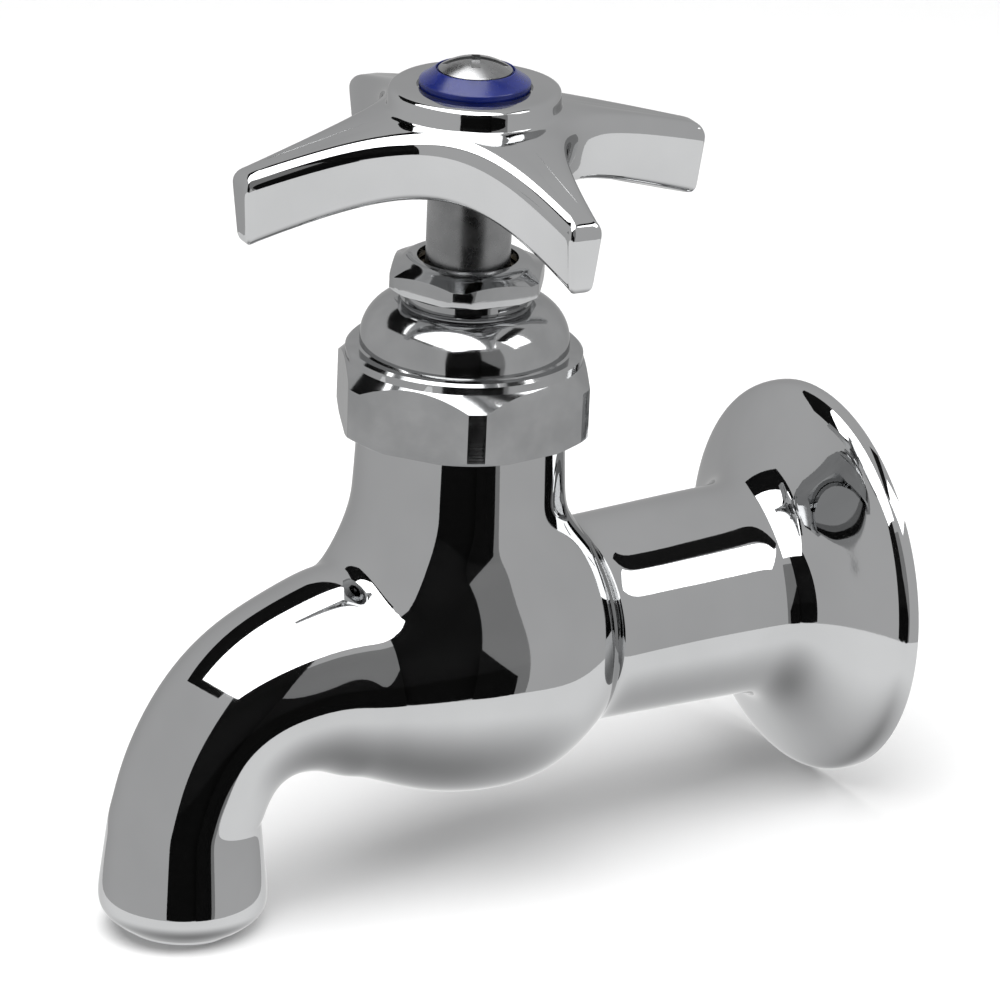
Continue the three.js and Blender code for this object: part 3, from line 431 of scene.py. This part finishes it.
def cast_skin():
    """The outer skin: a ring carried from the wall to the outlet, with the neck raised from its top."""
    clear_selection()
    sections = casting_sections()
    y, z, radius, lean, width = sections[0]
    bpy.ops.mesh.primitive_circle_add(
        vertices=SIDES, radius=radius * CAGE_GROWTH * MM, location=mm(0, y, z), rotation=(math.pi / 2, 0, 0)
    )
    skin = start("faucet_casting")
    for next_y, next_z, next_radius, next_lean, next_width in sections[1:]:
        extrude(mm(0, next_y - y, next_z - z))
        centre = mm(0, next_y, next_z)
        grow = next_radius / radius
        scale((grow * next_width / width, grow, grow), centre)
        if next_lean != lean:
            tip(-(next_lean - lean), centre)
        y, z, radius, lean, width = next_y, next_z, next_radius, next_lean, next_width

    # A square of faces on top of the globe is opened for the neck
    half = GLOBE_HALF * MM

    def on_top(face):
        centre = face.calc_center_median()
        return abs(centre.y - STEM_Y * MM) < half and centre.z > abs(centre.x)

    pick(skin, on_top, "faces")
    bpy.ops.mesh.delete(type="FACE")
    rings = [(0.55, 1.045), (0.69, 1.03), (0.84, 1.01), (1.1, 1)]
    rings = [(NECK_TOP * up, NECK_R * CAGE_GROWTH * share) for up, share in rings]
    low_z, low_r = rings[0]
    bpy.ops.mesh.primitive_circle_add(vertices=SIDES, radius=low_r * MM, location=mm(0, STEM_Y, low_z))
    reach = (GLOBE_HALF + 1) * MM

    def round_opening(edge):
        middle = (edge.verts[0].co + edge.verts[1].co) / 2
        near = abs(middle.y - STEM_Y * MM) < reach and middle.z > 0
        return near and (edge.is_boundary or edge.is_wire)

    pick(skin, round_opening, "edges")
    bpy.ops.mesh.bridge_edge_loops()
    pick(skin, lambda v: abs(v.co.z - low_z * MM) < 1e-6 and abs(v.co.y - STEM_Y * MM) < reach)
    bpy.ops.mesh.select_mode(type="EDGE")
    for up, r in rings[1:]:
        extrude(mm(0, 0, up - low_z))
        scale((r / low_r, r / low_r, 1), mm(0, STEM_Y, up))
        low_z, low_r = up, r
    # The globe's flanks run softly into the tube below the level of the inlet axis
    for y, factor in ((STEM_Y + GLOBE_HALF, 0.91), (WAIST_Y, 1.03), (WAIST_Y + 4, 1.015)):
        pick(skin, lambda v, y=y: abs(v.co.y - y * MM) < 1e-5 and -14 < v.co.z / MM < 1)
        scale((factor, 1, 1), mm(0, y, 0))
    finish(skin)
    modify(skin, "SUBSURF", levels=3, render_levels=3, boundary_smooth="PRESERVE_CORNERS")

    # Faced off flat at the wall, the neck and the outlet
    bpy.ops.object.mode_set(mode="EDIT")
    faces = [((0, 0, 0), (0, 1, 0)), ((0, 0, NECK_TOP), (0, 0, 1)), ((0, 0, OUTLET_Z), (0, 0, -1))]
    for point, outwards in faces:
        bpy.ops.mesh.select_all(action="SELECT")
        bpy.ops.mesh.bisect(
            plane_co=mm(*point), plane_no=outwards, clear_outer=True, use_fill=True, threshold=1e-7
        )
    return finish(skin)


def along_inlet(name, outline, bored=False):
    """A turned solid laid along the inlet, its heights measured from the wall."""
    piece = turned(name, outline, ROUND_SIDES, (0, 0), bored)
    piece.rotation_euler = (math.pi / 2, 0, 0)
    return settle(piece)


def build_casting():
    body = cast_skin()
    combine(body, rod("spigot", SPIGOT_R, NECK_TOP - 3, NECK_TOP + 4.6), "UNION")
    outlet = (0, OUTLET_Y)
    combine(body, rod("lip", LIP_R, OUTLET_Z - LIP_HEIGHT, OUTLET_Z + 1, centre=outlet), "UNION")
    rim = FLANGE_R - 4
    boss = INLET_BORE_R + 4
    dish = [(boss, -1), (rim, -1), (rim, 0.8), (rim - 4, 3.6), (boss + 3, 6), (boss, 6)]
    socket = [
        (INLET_BORE_R + 2, -1), (INLET_BORE_R, 1.6), (INLET_BORE_R, 19), (INLET_WAY_R, 21), (INLET_WAY_R, 30),
    ]
    combine(body, along_inlet("dish", dish, bored=True), "DIFFERENCE")
    combine(body, along_inlet("socket", socket), "DIFFERENCE")
    combine(body, rod("outlet_bore", OUTLET_BORE_R, OUTLET_Z - 3, -16, centre=outlet), "DIFFERENCE")
    combine(body, rod("neck_bore", NECK_BORE_R, 1, 45), "DIFFERENCE")
    smooth(body, 32)
    return body


# ---- Bonnet and packing nut ------------------------------------------------------------------------------
HEX_FLATS = 33.4
HEX_BEARING = 36.3
HEX_BOTTOM = 32.3
HEX_TOP = 42.4
HEX_CORNER_R = 18.6
COLLAR_R = 16.5
DOME_R = 14.6
DOME_TOP = 51
GLAND_THREAD_R = 8.9
BONNET_TOP = 55.2
NUT_FLATS = 20.6
NUT_BEARING = 24.5
NUT_Z = 52.8
NUT_TOP = 56.9
NUT_CORNER_R = 11.4
NUT_HOLE_R = 7.05
FINE_SIDES = 144


def build_bonnet():
    chamfer = HEX_CORNER_R - COLLAR_R
    bonnet = hexagon("bonnet_hex", HEX_FLATS, HEX_BOTTOM - 1, HEX_TOP + 1, HEX_BEARING)
    envelope = [
        (HEX_CORNER_R - 1.4, HEX_BOTTOM), (HEX_CORNER_R, HEX_BOTTOM + 0.9), (HEX_CORNER_R, HEX_TOP - chamfer),
        (COLLAR_R, HEX_TOP),
    ]
    combine(bonnet, turned("hex_envelope", envelope, FINE_SIDES), "INTERSECT")
    collar_top = HEX_TOP + 1.5
    foot = collar_top + 1
    dome = DOME_TOP - foot
    upper = [
        (COLLAR_R - 1, HEX_TOP - 1), (COLLAR_R, HEX_TOP), (COLLAR_R, collar_top - 0.4),
        (COLLAR_R - 0.4, collar_top), (DOME_R + 0.35, collar_top), (DOME_R, collar_top + 0.2),
        *arc(DOME_R - dome, foot, dome, 0, 84, 16), (GLAND_THREAD_R + 0.3, DOME_TOP),
        (GLAND_THREAD_R, DOME_TOP + 0.2), (GLAND_THREAD_R, BONNET_TOP - 0.6),
        (GLAND_THREAD_R - 0.6, BONNET_TOP),
    ]
    combine(bonnet, turned("dome", upper, FINE_SIDES), "UNION")
    skirt = NECK_R + 0.5
    chamber = SPIGOT_R + 0.3
    inside = [
        (skirt, HEX_BOTTOM - 2), (skirt, NECK_TOP + 0.3), (chamber, NECK_TOP + 0.6), (chamber, 43.5),
        (7.4, 43.5), (6, 44.5), (6, 48.2), (7.7, 48.2), (7.7, BONNET_TOP + 1),
    ]
    combine(bonnet, turned("bonnet_bore", inside), "DIFFERENCE")
    ease(bonnet, 0.16, 2)
    smooth(bonnet, 25)
    bonnet.name = "bonnet_shell"
    return bonnet


def build_packing_nut():
    nut = hexagon("packing_hex", NUT_FLATS, NUT_Z - 1, NUT_TOP + 1, NUT_BEARING)
    envelope = [
        (NUT_CORNER_R - 0.6, NUT_Z), (NUT_CORNER_R, NUT_Z + 0.4), (NUT_CORNER_R, NUT_TOP - 1.7),
        *arc(NUT_HOLE_R + 0.5, NUT_TOP - 2.4, 2.4, 42, 90, 6),
    ]
    combine(nut, turned("nut_envelope", envelope, FINE_SIDES), "INTERSECT")
    tapped = GLAND_THREAD_R + 0.3
    shoulder = NUT_TOP - 1.4
    inside = [(tapped, NUT_Z - 1), (tapped, shoulder), (NUT_HOLE_R, shoulder), (NUT_HOLE_R, NUT_TOP + 1)]
    combine(nut, turned("nut_bore", inside), "DIFFERENCE")
    ease(nut, 0.14, 2)
    smooth(nut, 25)
    nut.name = "packing_hex_nut"
    return nut


# ---- Spindle ---------------------------------------------------------------------------------------------
STEM_R = 5.9
STEM_CORE_R = 4.8
LEAD_THREAD_R = 6.8
CUP_WALL_R = 7.4
SPLINE_R = 4.6
HUB_TOP = 81.5
HANDLE_UNDER = 68.8
SPLINE_TOP = 77.3
HANDLE_SCREW_HOLE_R = 2.7


def build_spindle():
    shoulder = HANDLE_UNDER - 0.3
    outline = [
        (CUP_WALL_R, 7.9), (CUP_WALL_R, 10.6), (STEM_CORE_R, 12.2), (STEM_CORE_R, 28.4),
        (LEAD_THREAD_R, 29.4), (LEAD_THREAD_R, 38.6), (STEM_R + 0.1, 39.4), (STEM_R, 39.5),
        (STEM_R, shoulder - 0.6),
        (STEM_R - 0.6, shoulder), (SPLINE_R, shoulder), (SPLINE_R, SPLINE_TOP),
    ]
    spindle = turned("stem_bar", outline)
    combine(spindle, rod("cup", 6.8, 6, 9.2), "DIFFERENCE")
    combine(spindle, rod("washer_screw_hole", 2.3, 6, 18), "DIFFERENCE")
    combine(spindle, rod("tapped_hole", HANDLE_SCREW_HOLE_R, SPLINE_TOP - 11, SPLINE_TOP + 1), "DIFFERENCE")
    ease(spindle, 0.1)
    smooth(spindle)
    return spindle


# ---- Handle ----------------------------------------------------------------------------------------------
HUB_R = 12.1
HUB_RISE = 3.3
ARM_REACH = 35.1
ARM_TIP_HALF = 2.5
ARM_TIP_DROP = 5.4
WEB_R = 14.2
ARM_HEIGHT_ROOT = 9.4
ARM_HEIGHT_TIP = 11
ARM_DRAFT = 0.75
EDGE = 1.6
TIP_CORNER = 1.2
SOCKET_R = 6.3
HANDLE_TURN = -4
ROOT_TOP = HUB_TOP - HUB_RISE
WEB_POINTS = 9


def quarter_outline(inset):
    """A quarter of the four-armed outline, from one arm's tip to the next, as radius and bearing."""
    reach = ARM_REACH - inset
    half = ARM_TIP_HALF - inset
    web = WEB_R - inset
    far = (reach - TIP_CORNER + half) / math.sqrt(2)
    side = (reach - TIP_CORNER - half) / math.sqrt(2)
    spread = math.sqrt(far * far - web * web) / side
    points = [(reach, 0), (reach, half * 0.5), (reach, half), (reach - TIP_CORNER * 0.6, half)]
    for i in range(WEB_POINTS):
        v = side * (1 - 2 * i / (WEB_POINTS - 1))
        u = math.hypot(web, spread * v)
        points.append(((u + v) / math.sqrt(2), (u - v) / math.sqrt(2)))
    points += [(half, reach - TIP_CORNER * 0.6), (half, reach), (half * 0.5, reach)]
    return [(math.hypot(x, y), math.degrees(math.atan2(y, x))) for x, y in points]


def star(inset):
    return [(r, bearing + 90 * k) for k in range(4) for r, bearing in quarter_outline(inset)]


def build_handle():
    def out(r):
        return max(0.0, (r - HUB_R) / (ARM_REACH - HUB_R))

    def top(r):
        return ROOT_TOP - ARM_TIP_DROP * out(r) ** 1.2

    def under(r):
        return top(r) - ARM_HEIGHT_ROOT - (ARM_HEIGHT_TIP - ARM_HEIGHT_ROOT) * out(r)

    bearings = [bearing for _, bearing in star(0)]

    def round_ring(r, z):
        return [(r, z, bearing) for bearing in bearings]

    def star_ring(inset, height):
        return [(r, height(r), bearing) for r, bearing in star(inset)]

    rings = [
        round_ring(HUB_R - 1.6, HUB_TOP), round_ring(HUB_R - 0.5, HUB_TOP - 0.05),
        round_ring(HUB_R - 0.05, HUB_TOP - 0.5), round_ring(HUB_R, HUB_TOP - 1.2),
        round_ring(HUB_R, ROOT_TOP + 0.9), round_ring(HUB_R + 0.15, ROOT_TOP + 0.25),
        round_ring(HUB_R + 0.8, ROOT_TOP),
        star_ring(EDGE + 0.1, top), star_ring(EDGE * 0.35, lambda r: top(r) - EDGE * 0.2),
        star_ring(0, lambda r: top(r) - EDGE * 0.9), star_ring(0.1, lambda r: top(r) - EDGE * 1.6),
        star_ring(ARM_DRAFT - 0.1, lambda r: under(r) + EDGE * 1.4),
        star_ring(ARM_DRAFT, lambda r: under(r) + EDGE * 0.7),
        star_ring(ARM_DRAFT + EDGE * 0.35, lambda r: under(r) + EDGE * 0.15),
        star_ring(ARM_DRAFT + EDGE * 0.9, under),
        round_ring(10.5, under(0)), round_ring(7.2, under(0)), round_ring(SOCKET_R + 0.1, under(0) + 0.2),
        round_ring(SOCKET_R, under(0) + 1), round_ring(SOCKET_R, SPLINE_TOP),
    ]
    clear_selection()
    bpy.ops.mesh.primitive_circle_add(
        vertices=len(bearings), radius=rings[0][0][0] * MM, location=mm(0, STEM_Y, HUB_TOP),
        rotation=(0, 0, -math.pi / 2),
    )
    handle = start("cross_handle")
    count = len(bearings)
    axis = mm(0, STEM_Y, 0)
    for step, ring in enumerate(rings):
        if step:
            pick(handle, lambda v: v.index >= (step - 1) * count)
            bpy.ops.mesh.select_mode(type="EDGE")
            extrude((0, 0, -1e-4))
        shape = bmesh.from_edit_mesh(handle.data)
        shape.verts.ensure_lookup_table()
        newest = [v for v in shape.verts if v.index >= step * count]
        newest.sort(key=lambda v: math.atan2(v.co.y - axis.y, v.co.x) % math.tau if step == 0 else v.index)
        order = [v.index for v in newest]
        places = sorted(ring, key=lambda spot: spot[2] % 360)
        if step == 0:
            slots = {index: k for k, index in enumerate(order)}
        else:
            below = {}
            for v in newest:
                mate = next(e.other_vert(v) for e in v.link_edges if e.other_vert(v).index < step * count)
                below[v.index] = slots[mate.index]
            slots = below
        targets = {}
        for index in order:
            r, z, bearing = places[slots[index]]
            a = math.radians(bearing + HANDLE_TURN)
            targets[index] = axis + mm(r * math.cos(a), r * math.sin(a), z)
        for index, target in targets.items():
            pick(handle, lambda v, index=index: v.index == index)
            shape = bmesh.from_edit_mesh(handle.data)
            shape.verts.ensure_lookup_table()
            move(target - shape.verts[index].co)
    pick(handle, lambda edge: edge.is_boundary, "edges")
    bpy.ops.mesh.fill_holes(sides=0)
    finish(handle)
    modify(handle, "SUBSURF", levels=2, render_levels=2)
    combine(handle, rod("index_seat", 8, HUB_TOP - 0.5, HUB_TOP + 2), "DIFFERENCE")
    combine(handle, rod("screw_hole", HANDLE_SCREW_HOLE_R, SPLINE_TOP - 1, HUB_TOP + 1), "DIFFERENCE")
    smooth(handle, 35)
    return handle


RING_R = 7.7
RING_LOW = HUB_TOP - 0.2
RING_HIGH = RING_LOW + 2.6
SCREW_HEAD_R = 5.1
SCREW_CROWN = 1.59
DRIVE_DEPTH = 1.3
DRIVE_TURN = -30


def build_index_ring():
    low, high = RING_LOW, RING_HIGH
    hole = HANDLE_SCREW_HOLE_R
    outline = [
        (hole, low), (RING_R, low), (RING_R, low + 0.9), (RING_R - 0.1, low + 1.05),
        (RING_R - 0.4, low + 1.2), (5.75, high - 0.25), (5.6, high - 0.06), (5.45, high),
        (5.4, high - 0.05), (5.4, high - 0.5),
        (hole, low + 1),
    ]
    ring = turned("blue_index_ring", outline, bored=True)
    ease(ring, 0.06)
    smooth(ring)
    return ring


def build_handle_screw():
    crown_z = RING_HIGH + SCREW_CROWN
    sphere = (SCREW_HEAD_R**2 + SCREW_CROWN**2) / (2 * SCREW_CROWN)
    half = math.degrees(math.asin(SCREW_HEAD_R / sphere))
    head = arc(0, crown_z - sphere, sphere, 90 - half, 89, 14)
    shank = 2.4
    outline = [(shank, SPLINE_TOP - 10), (shank, RING_HIGH - 1.3), (SCREW_HEAD_R, RING_HIGH - 0.3), *head]
    screw = turned("handle_screw_head", outline)
    cutter = 5
    middle = (0, STEM_Y, crown_z - DRIVE_DEPTH + cutter / 2)
    for width, length in ((1.2, 12.4), (6, 1.2)):
        combine(screw, block("drive", (width, length, cutter), middle, DRIVE_TURN), "DIFFERENCE")
    ease(screw, 0.08)
    smooth(screw)
    return screw


# ---- Pieces and their finishes ---------------------------------------------------------------------------
casting_chrome = polished_chrome("casting_chrome", 0.035)
handle_chrome = polished_chrome("handle_chrome", 0.012, (0, STEM_Y, 75))
bonnet_chrome = turned_chrome("bonnet_chrome")
nut_chrome = turned_chrome("nut_chrome")
stem_steel = satin_steel("stem_steel")
screw_steel = satin_steel("screw_steel")
brass = raw_brass("machined_brass", (0.62, 0.45, 0.20), (0.74, 0.56, 0.28))
dull_brass = raw_brass("greased_brass", (0.10, 0.08, 0.05), (0.16, 0.13, 0.08))
blue = moulded("blue_plastic", (0.004, 0.01, 0.1), (0.006, 0.014, 0.14), 0.2, 0.32, 0.8, 0.002)
rubber = moulded("black_rubber", (0.012, 0.012, 0.012), (0.03, 0.03, 0.03), 0.6, 0.8, 0.4, 0.02)
fibre = moulded("red_fibre", (0.20, 0.045, 0.03), (0.30, 0.075, 0.045), 0.7, 0.9, 0.3, 0.03)
packing = moulded("braided_packing", (0.55, 0.53, 0.47), (0.72, 0.70, 0.64), 0.6, 0.8, 0.5, 0.05)

dress(build_casting(), casting_chrome, BODY, "polished_chrome", "faucet_body")
dress(build_bonnet(), bonnet_chrome, BODY, "turned_chrome", "bonnet")
dress(build_packing_nut(), nut_chrome, BODY, "turned_chrome", "packing_nut")
dress(build_spindle(), stem_steel, SPINDLE, "satin_steel", "spindle")
dress(build_handle(), handle_chrome, SPINDLE, "polished_chrome", "handle")
dress(build_index_ring(), blue, SPINDLE, "blue_plastic", "index_ring")
dress(build_handle_screw(), screw_steel, SPINDLE, "satin_steel", "handle_screw")
gland_thread = coil("gland_thread", GLAND_THREAD_R, 0.28, 51.6, 0.9, 4, 0.1)
dress(gland_thread, bonnet_chrome, BODY, "turned_chrome")
pipe_thread = coil("pipe_thread", INLET_BORE_R, -0.6, 2.6, 1.8, 8, 0.15, "Y", (0, 0, 0))
dress(pipe_thread, casting_chrome, BODY, "polished_chrome")

inner = {
    "seat_gasket": fibre, "valve_seat": brass, "cartridge_sleeve": brass, "sleeve_o_ring": rubber,
    "bonnet_gasket": fibre, "packing_washer": brass, "packing_ring_lower": packing,
    "packing_ring_upper": packing, "packing_gland": dull_brass, "seat_washer": rubber, "washer_screw": brass,
}
for node, material in inner.items():
    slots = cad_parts[node].data.materials
    slots.clear()
    slots.append(material)


# ---- Studio ----------------------------------------------------------------------------------------------
FLOOR_Z = -35.5
FLOOR_TILT = math.atan2(-FLOOR_Z - 28.7, -OUTLET_Y)  # the floor meets the outlet's lip and the flange's rim
WALLS = 0.58  # brightness of the studio's walls
CEILING = 2.9
SIDE = 3
FLOOR_GLOW = 0.05


def plain(name, grey, glow=0.0):
    """An even matt card or cloth; glow is its own light as a multiple of its grey."""
    material = bpy.data.materials.new(name)
    material.use_nodes = True
    shader = material.node_tree.nodes["Principled BSDF"]
    colour = (grey, grey, grey, 1)
    shader.inputs["Base Color"].default_value = colour
    shader.inputs["Roughness"].default_value = 0.9
    shader.inputs["Specular IOR Level"].default_value = 0.0
    shader.inputs["Emission Color"].default_value = colour
    shader.inputs["Emission Strength"].default_value = glow
    return material


def paint_shadow_in_middle(material):
    """Paints a shadow into a card's own light, which falls off towards its middle as the ground does in an
    object's shade.
    """
    tree = material.node_tree
    place = tree.nodes.new("ShaderNodeTexCoord")
    fade = tree.nodes.new("ShaderNodeTexGradient")
    fade.gradient_type = "SPHERICAL"
    tones = tree.nodes.new("ShaderNodeValToRGB")
    tones.color_ramp.interpolation = "EASE"
    for stop, (position, tone) in zip(tones.color_ramp.elements, ((0.35, 0.1), (1, 0.03))):
        stop.position = position
        stop.color = (tone, tone, tone, 1)
    tree.links.new(place.outputs["Object"], fade.inputs["Vector"])
    tree.links.new(fade.outputs["Fac"], tones.inputs["Fac"])
    tree.links.new(tones.outputs["Color"], tree.nodes["Principled BSDF"].inputs["Emission Color"])


def panel(name, corners, material):
    """A flat card through four corners, mirrored in the chrome but hidden from the camera."""
    clear_selection()
    bpy.ops.mesh.primitive_plane_add(size=1)
    sheet = start(name)
    for k, corner in enumerate(corners):
        pick(sheet, lambda v, k=k: v.index == k)
        here = bmesh.from_edit_mesh(sheet.data).verts
        here.ensure_lookup_table()
        move(Vector(corner) - here[k].co)
    bpy.ops.object.mode_set(mode="OBJECT")
    sheet.data.materials.append(material)
    sheet.visible_camera = False
    return sheet


CENTRE = mm(0, -55, 15)
CARD_REACH = 1.2
CEILING_HEIGHT = 0.6
GROUND_EDGE = -22  # elevation where the mirrored ground ends


def around(azimuth, elevation, distance):
    """A place round the faucet: azimuth anticlockwise from +X, elevation above the level, both in degrees."""
    a, e = math.radians(azimuth), math.radians(elevation)
    return CENTRE + distance * Vector((math.cos(a) * math.cos(e), math.sin(a) * math.cos(e), math.sin(e)))


def upright(name, first, last, low, high, distance, material):
    """An upright card between two azimuths, from a low to a high elevation."""
    reach = distance * math.cos(math.radians((last - first) / 2))
    foot = reach * math.tan(math.radians(low))
    head = reach * math.tan(math.radians(high))
    corners = []
    for rise, azimuth in ((foot, first), (foot, last), (head, first), (head, last)):
        spot = around(azimuth, 0, distance)
        corners.append((spot.x, spot.y, CENTRE.z + rise))
    return panel(name, corners, material)


def overhead(name, x0, x1, y0, y1, material):
    """A level card above the faucet, its edges measured from CENTRE."""
    corners = [CENTRE + Vector((x, y, CEILING_HEIGHT)) for x, y in ((x0, y0), (x1, y0), (x0, y1), (x1, y1))]
    return panel(name, corners, material)


def facing(name, azimuth, elevation, distance, width, height, material):
    """A card square on to the faucet."""
    spot = around(azimuth, elevation, distance)
    away = (spot - CENTRE).normalized()
    side = Vector((0, 0, 1)).cross(away).normalized()
    rise = away.cross(side)
    signs = ((-1, -1), (1, -1), (-1, 1), (1, 1))
    corners = [spot + side * width * i / 2 + rise * height * j / 2 for i, j in signs]
    return panel(name, corners, material)


world = bpy.data.worlds.new("studio")
bpy.context.scene.world = world
world.use_nodes = True
world.node_tree.nodes["Background"].inputs["Color"].default_value = (WALLS, WALLS, WALLS, 1)
world.node_tree.nodes["Background"].inputs["Strength"].default_value = 1.0

white = plain("white_floor", 0.9, FLOOR_GLOW)
black = plain("black_cloth", 0.012)
dim = plain("dark_cloth", 0.05, 4.6)
pale = plain("pale_ground", 0.1, 10)
# the pale ground's light gets a painted shadow, darker towards its middle
paint_shadow_in_middle(pale)
ceiling_glow = plain("ceiling_light", 1, CEILING)
side_glow = plain("side_light", 1, SIDE)

clear_selection()
bpy.ops.mesh.primitive_plane_add(size=6, location=mm(0, OUTLET_Y, FLOOR_Z - 0.05))
floor = bpy.context.object
floor.name = "studio_floor"
floor.rotation_euler = (FLOOR_TILT, 0, 0)
floor.data.materials.append(white)
floor.visible_glossy = False

# What the chrome mirrors in place of the floor: a pale ground with a painted shadow, darker in the middle
clear_selection()
bpy.ops.mesh.primitive_circle_add(vertices=96, radius=CARD_REACH, fill_type="NGON")
ground = bpy.context.object
ground.name = "mirrored_ground"
ground.location = CENTRE + Vector((0, 0, CARD_REACH * math.tan(math.radians(GROUND_EDGE))))
ground.data.materials.append(pale)
for rays in ("camera", "diffuse", "shadow"):
    setattr(ground, "visible_" + rays, False)

overhead("ceiling_softbox", -0.35, 0.62, -0.60, 0.12, ceiling_glow)
facing("side_softbox", 45, 43, 1.0, 0.40, 0.38, side_glow)
facing("side_flag", 60, 59, 0.95, 0.62, 0.15, black)
overhead("ceiling_edge_left", -0.85, -0.35, -0.68, 0.14, black)
overhead("ceiling_edge_front", -0.35, 0.25, -0.68, -0.6, black)
upright("camera_black", -50, -11, GROUND_EDGE, 45, CARD_REACH, black)
low_black = ((-12, GROUND_EDGE), (9, GROUND_EDGE), (-12, 16), (9, -9))
panel("camera_black_low", [around(*bearing, 0.95 * CARD_REACH) for bearing in low_black], black)
upright("camera_dim", -11, 14, GROUND_EDGE, 38, CARD_REACH, dim)

# ---- Camera ----------------------------------------------------------------------------------------------
AZIMUTH, ELEVATION, ROLL = map(math.radians, (59.3, 20.6, -2.35))
AIM = mm(0, -58, 28)
DISTANCE = 1.0
a, e = AZIMUTH, ELEVATION
backwards = Vector((math.sin(a) * math.cos(e), -math.cos(a) * math.cos(e), math.sin(e)))
sideways = Vector((math.cos(a), math.sin(a), 0))
upwards = backwards.cross(sideways)
right = math.cos(ROLL) * sideways - math.sin(ROLL) * upwards
up = math.sin(ROLL) * sideways + math.cos(ROLL) * upwards
camera_data = bpy.data.cameras.new("camera")
camera_data.sensor_width = 36
camera_data.lens = 258.5
camera_data.shift_x = 0.03
camera_data.shift_y = -0.05
camera_data.clip_end = 20
camera = bpy.data.objects.new("camera", camera_data)
bpy.context.collection.objects.link(camera)
facing_faucet = Matrix((right, up, backwards)).transposed().to_4x4()
camera.matrix_world = Matrix.Translation(AIM + backwards * DISTANCE) @ facing_faucet
bpy.context.scene.camera = camera
bpy.context.scene.view_settings.view_transform = "Standard"
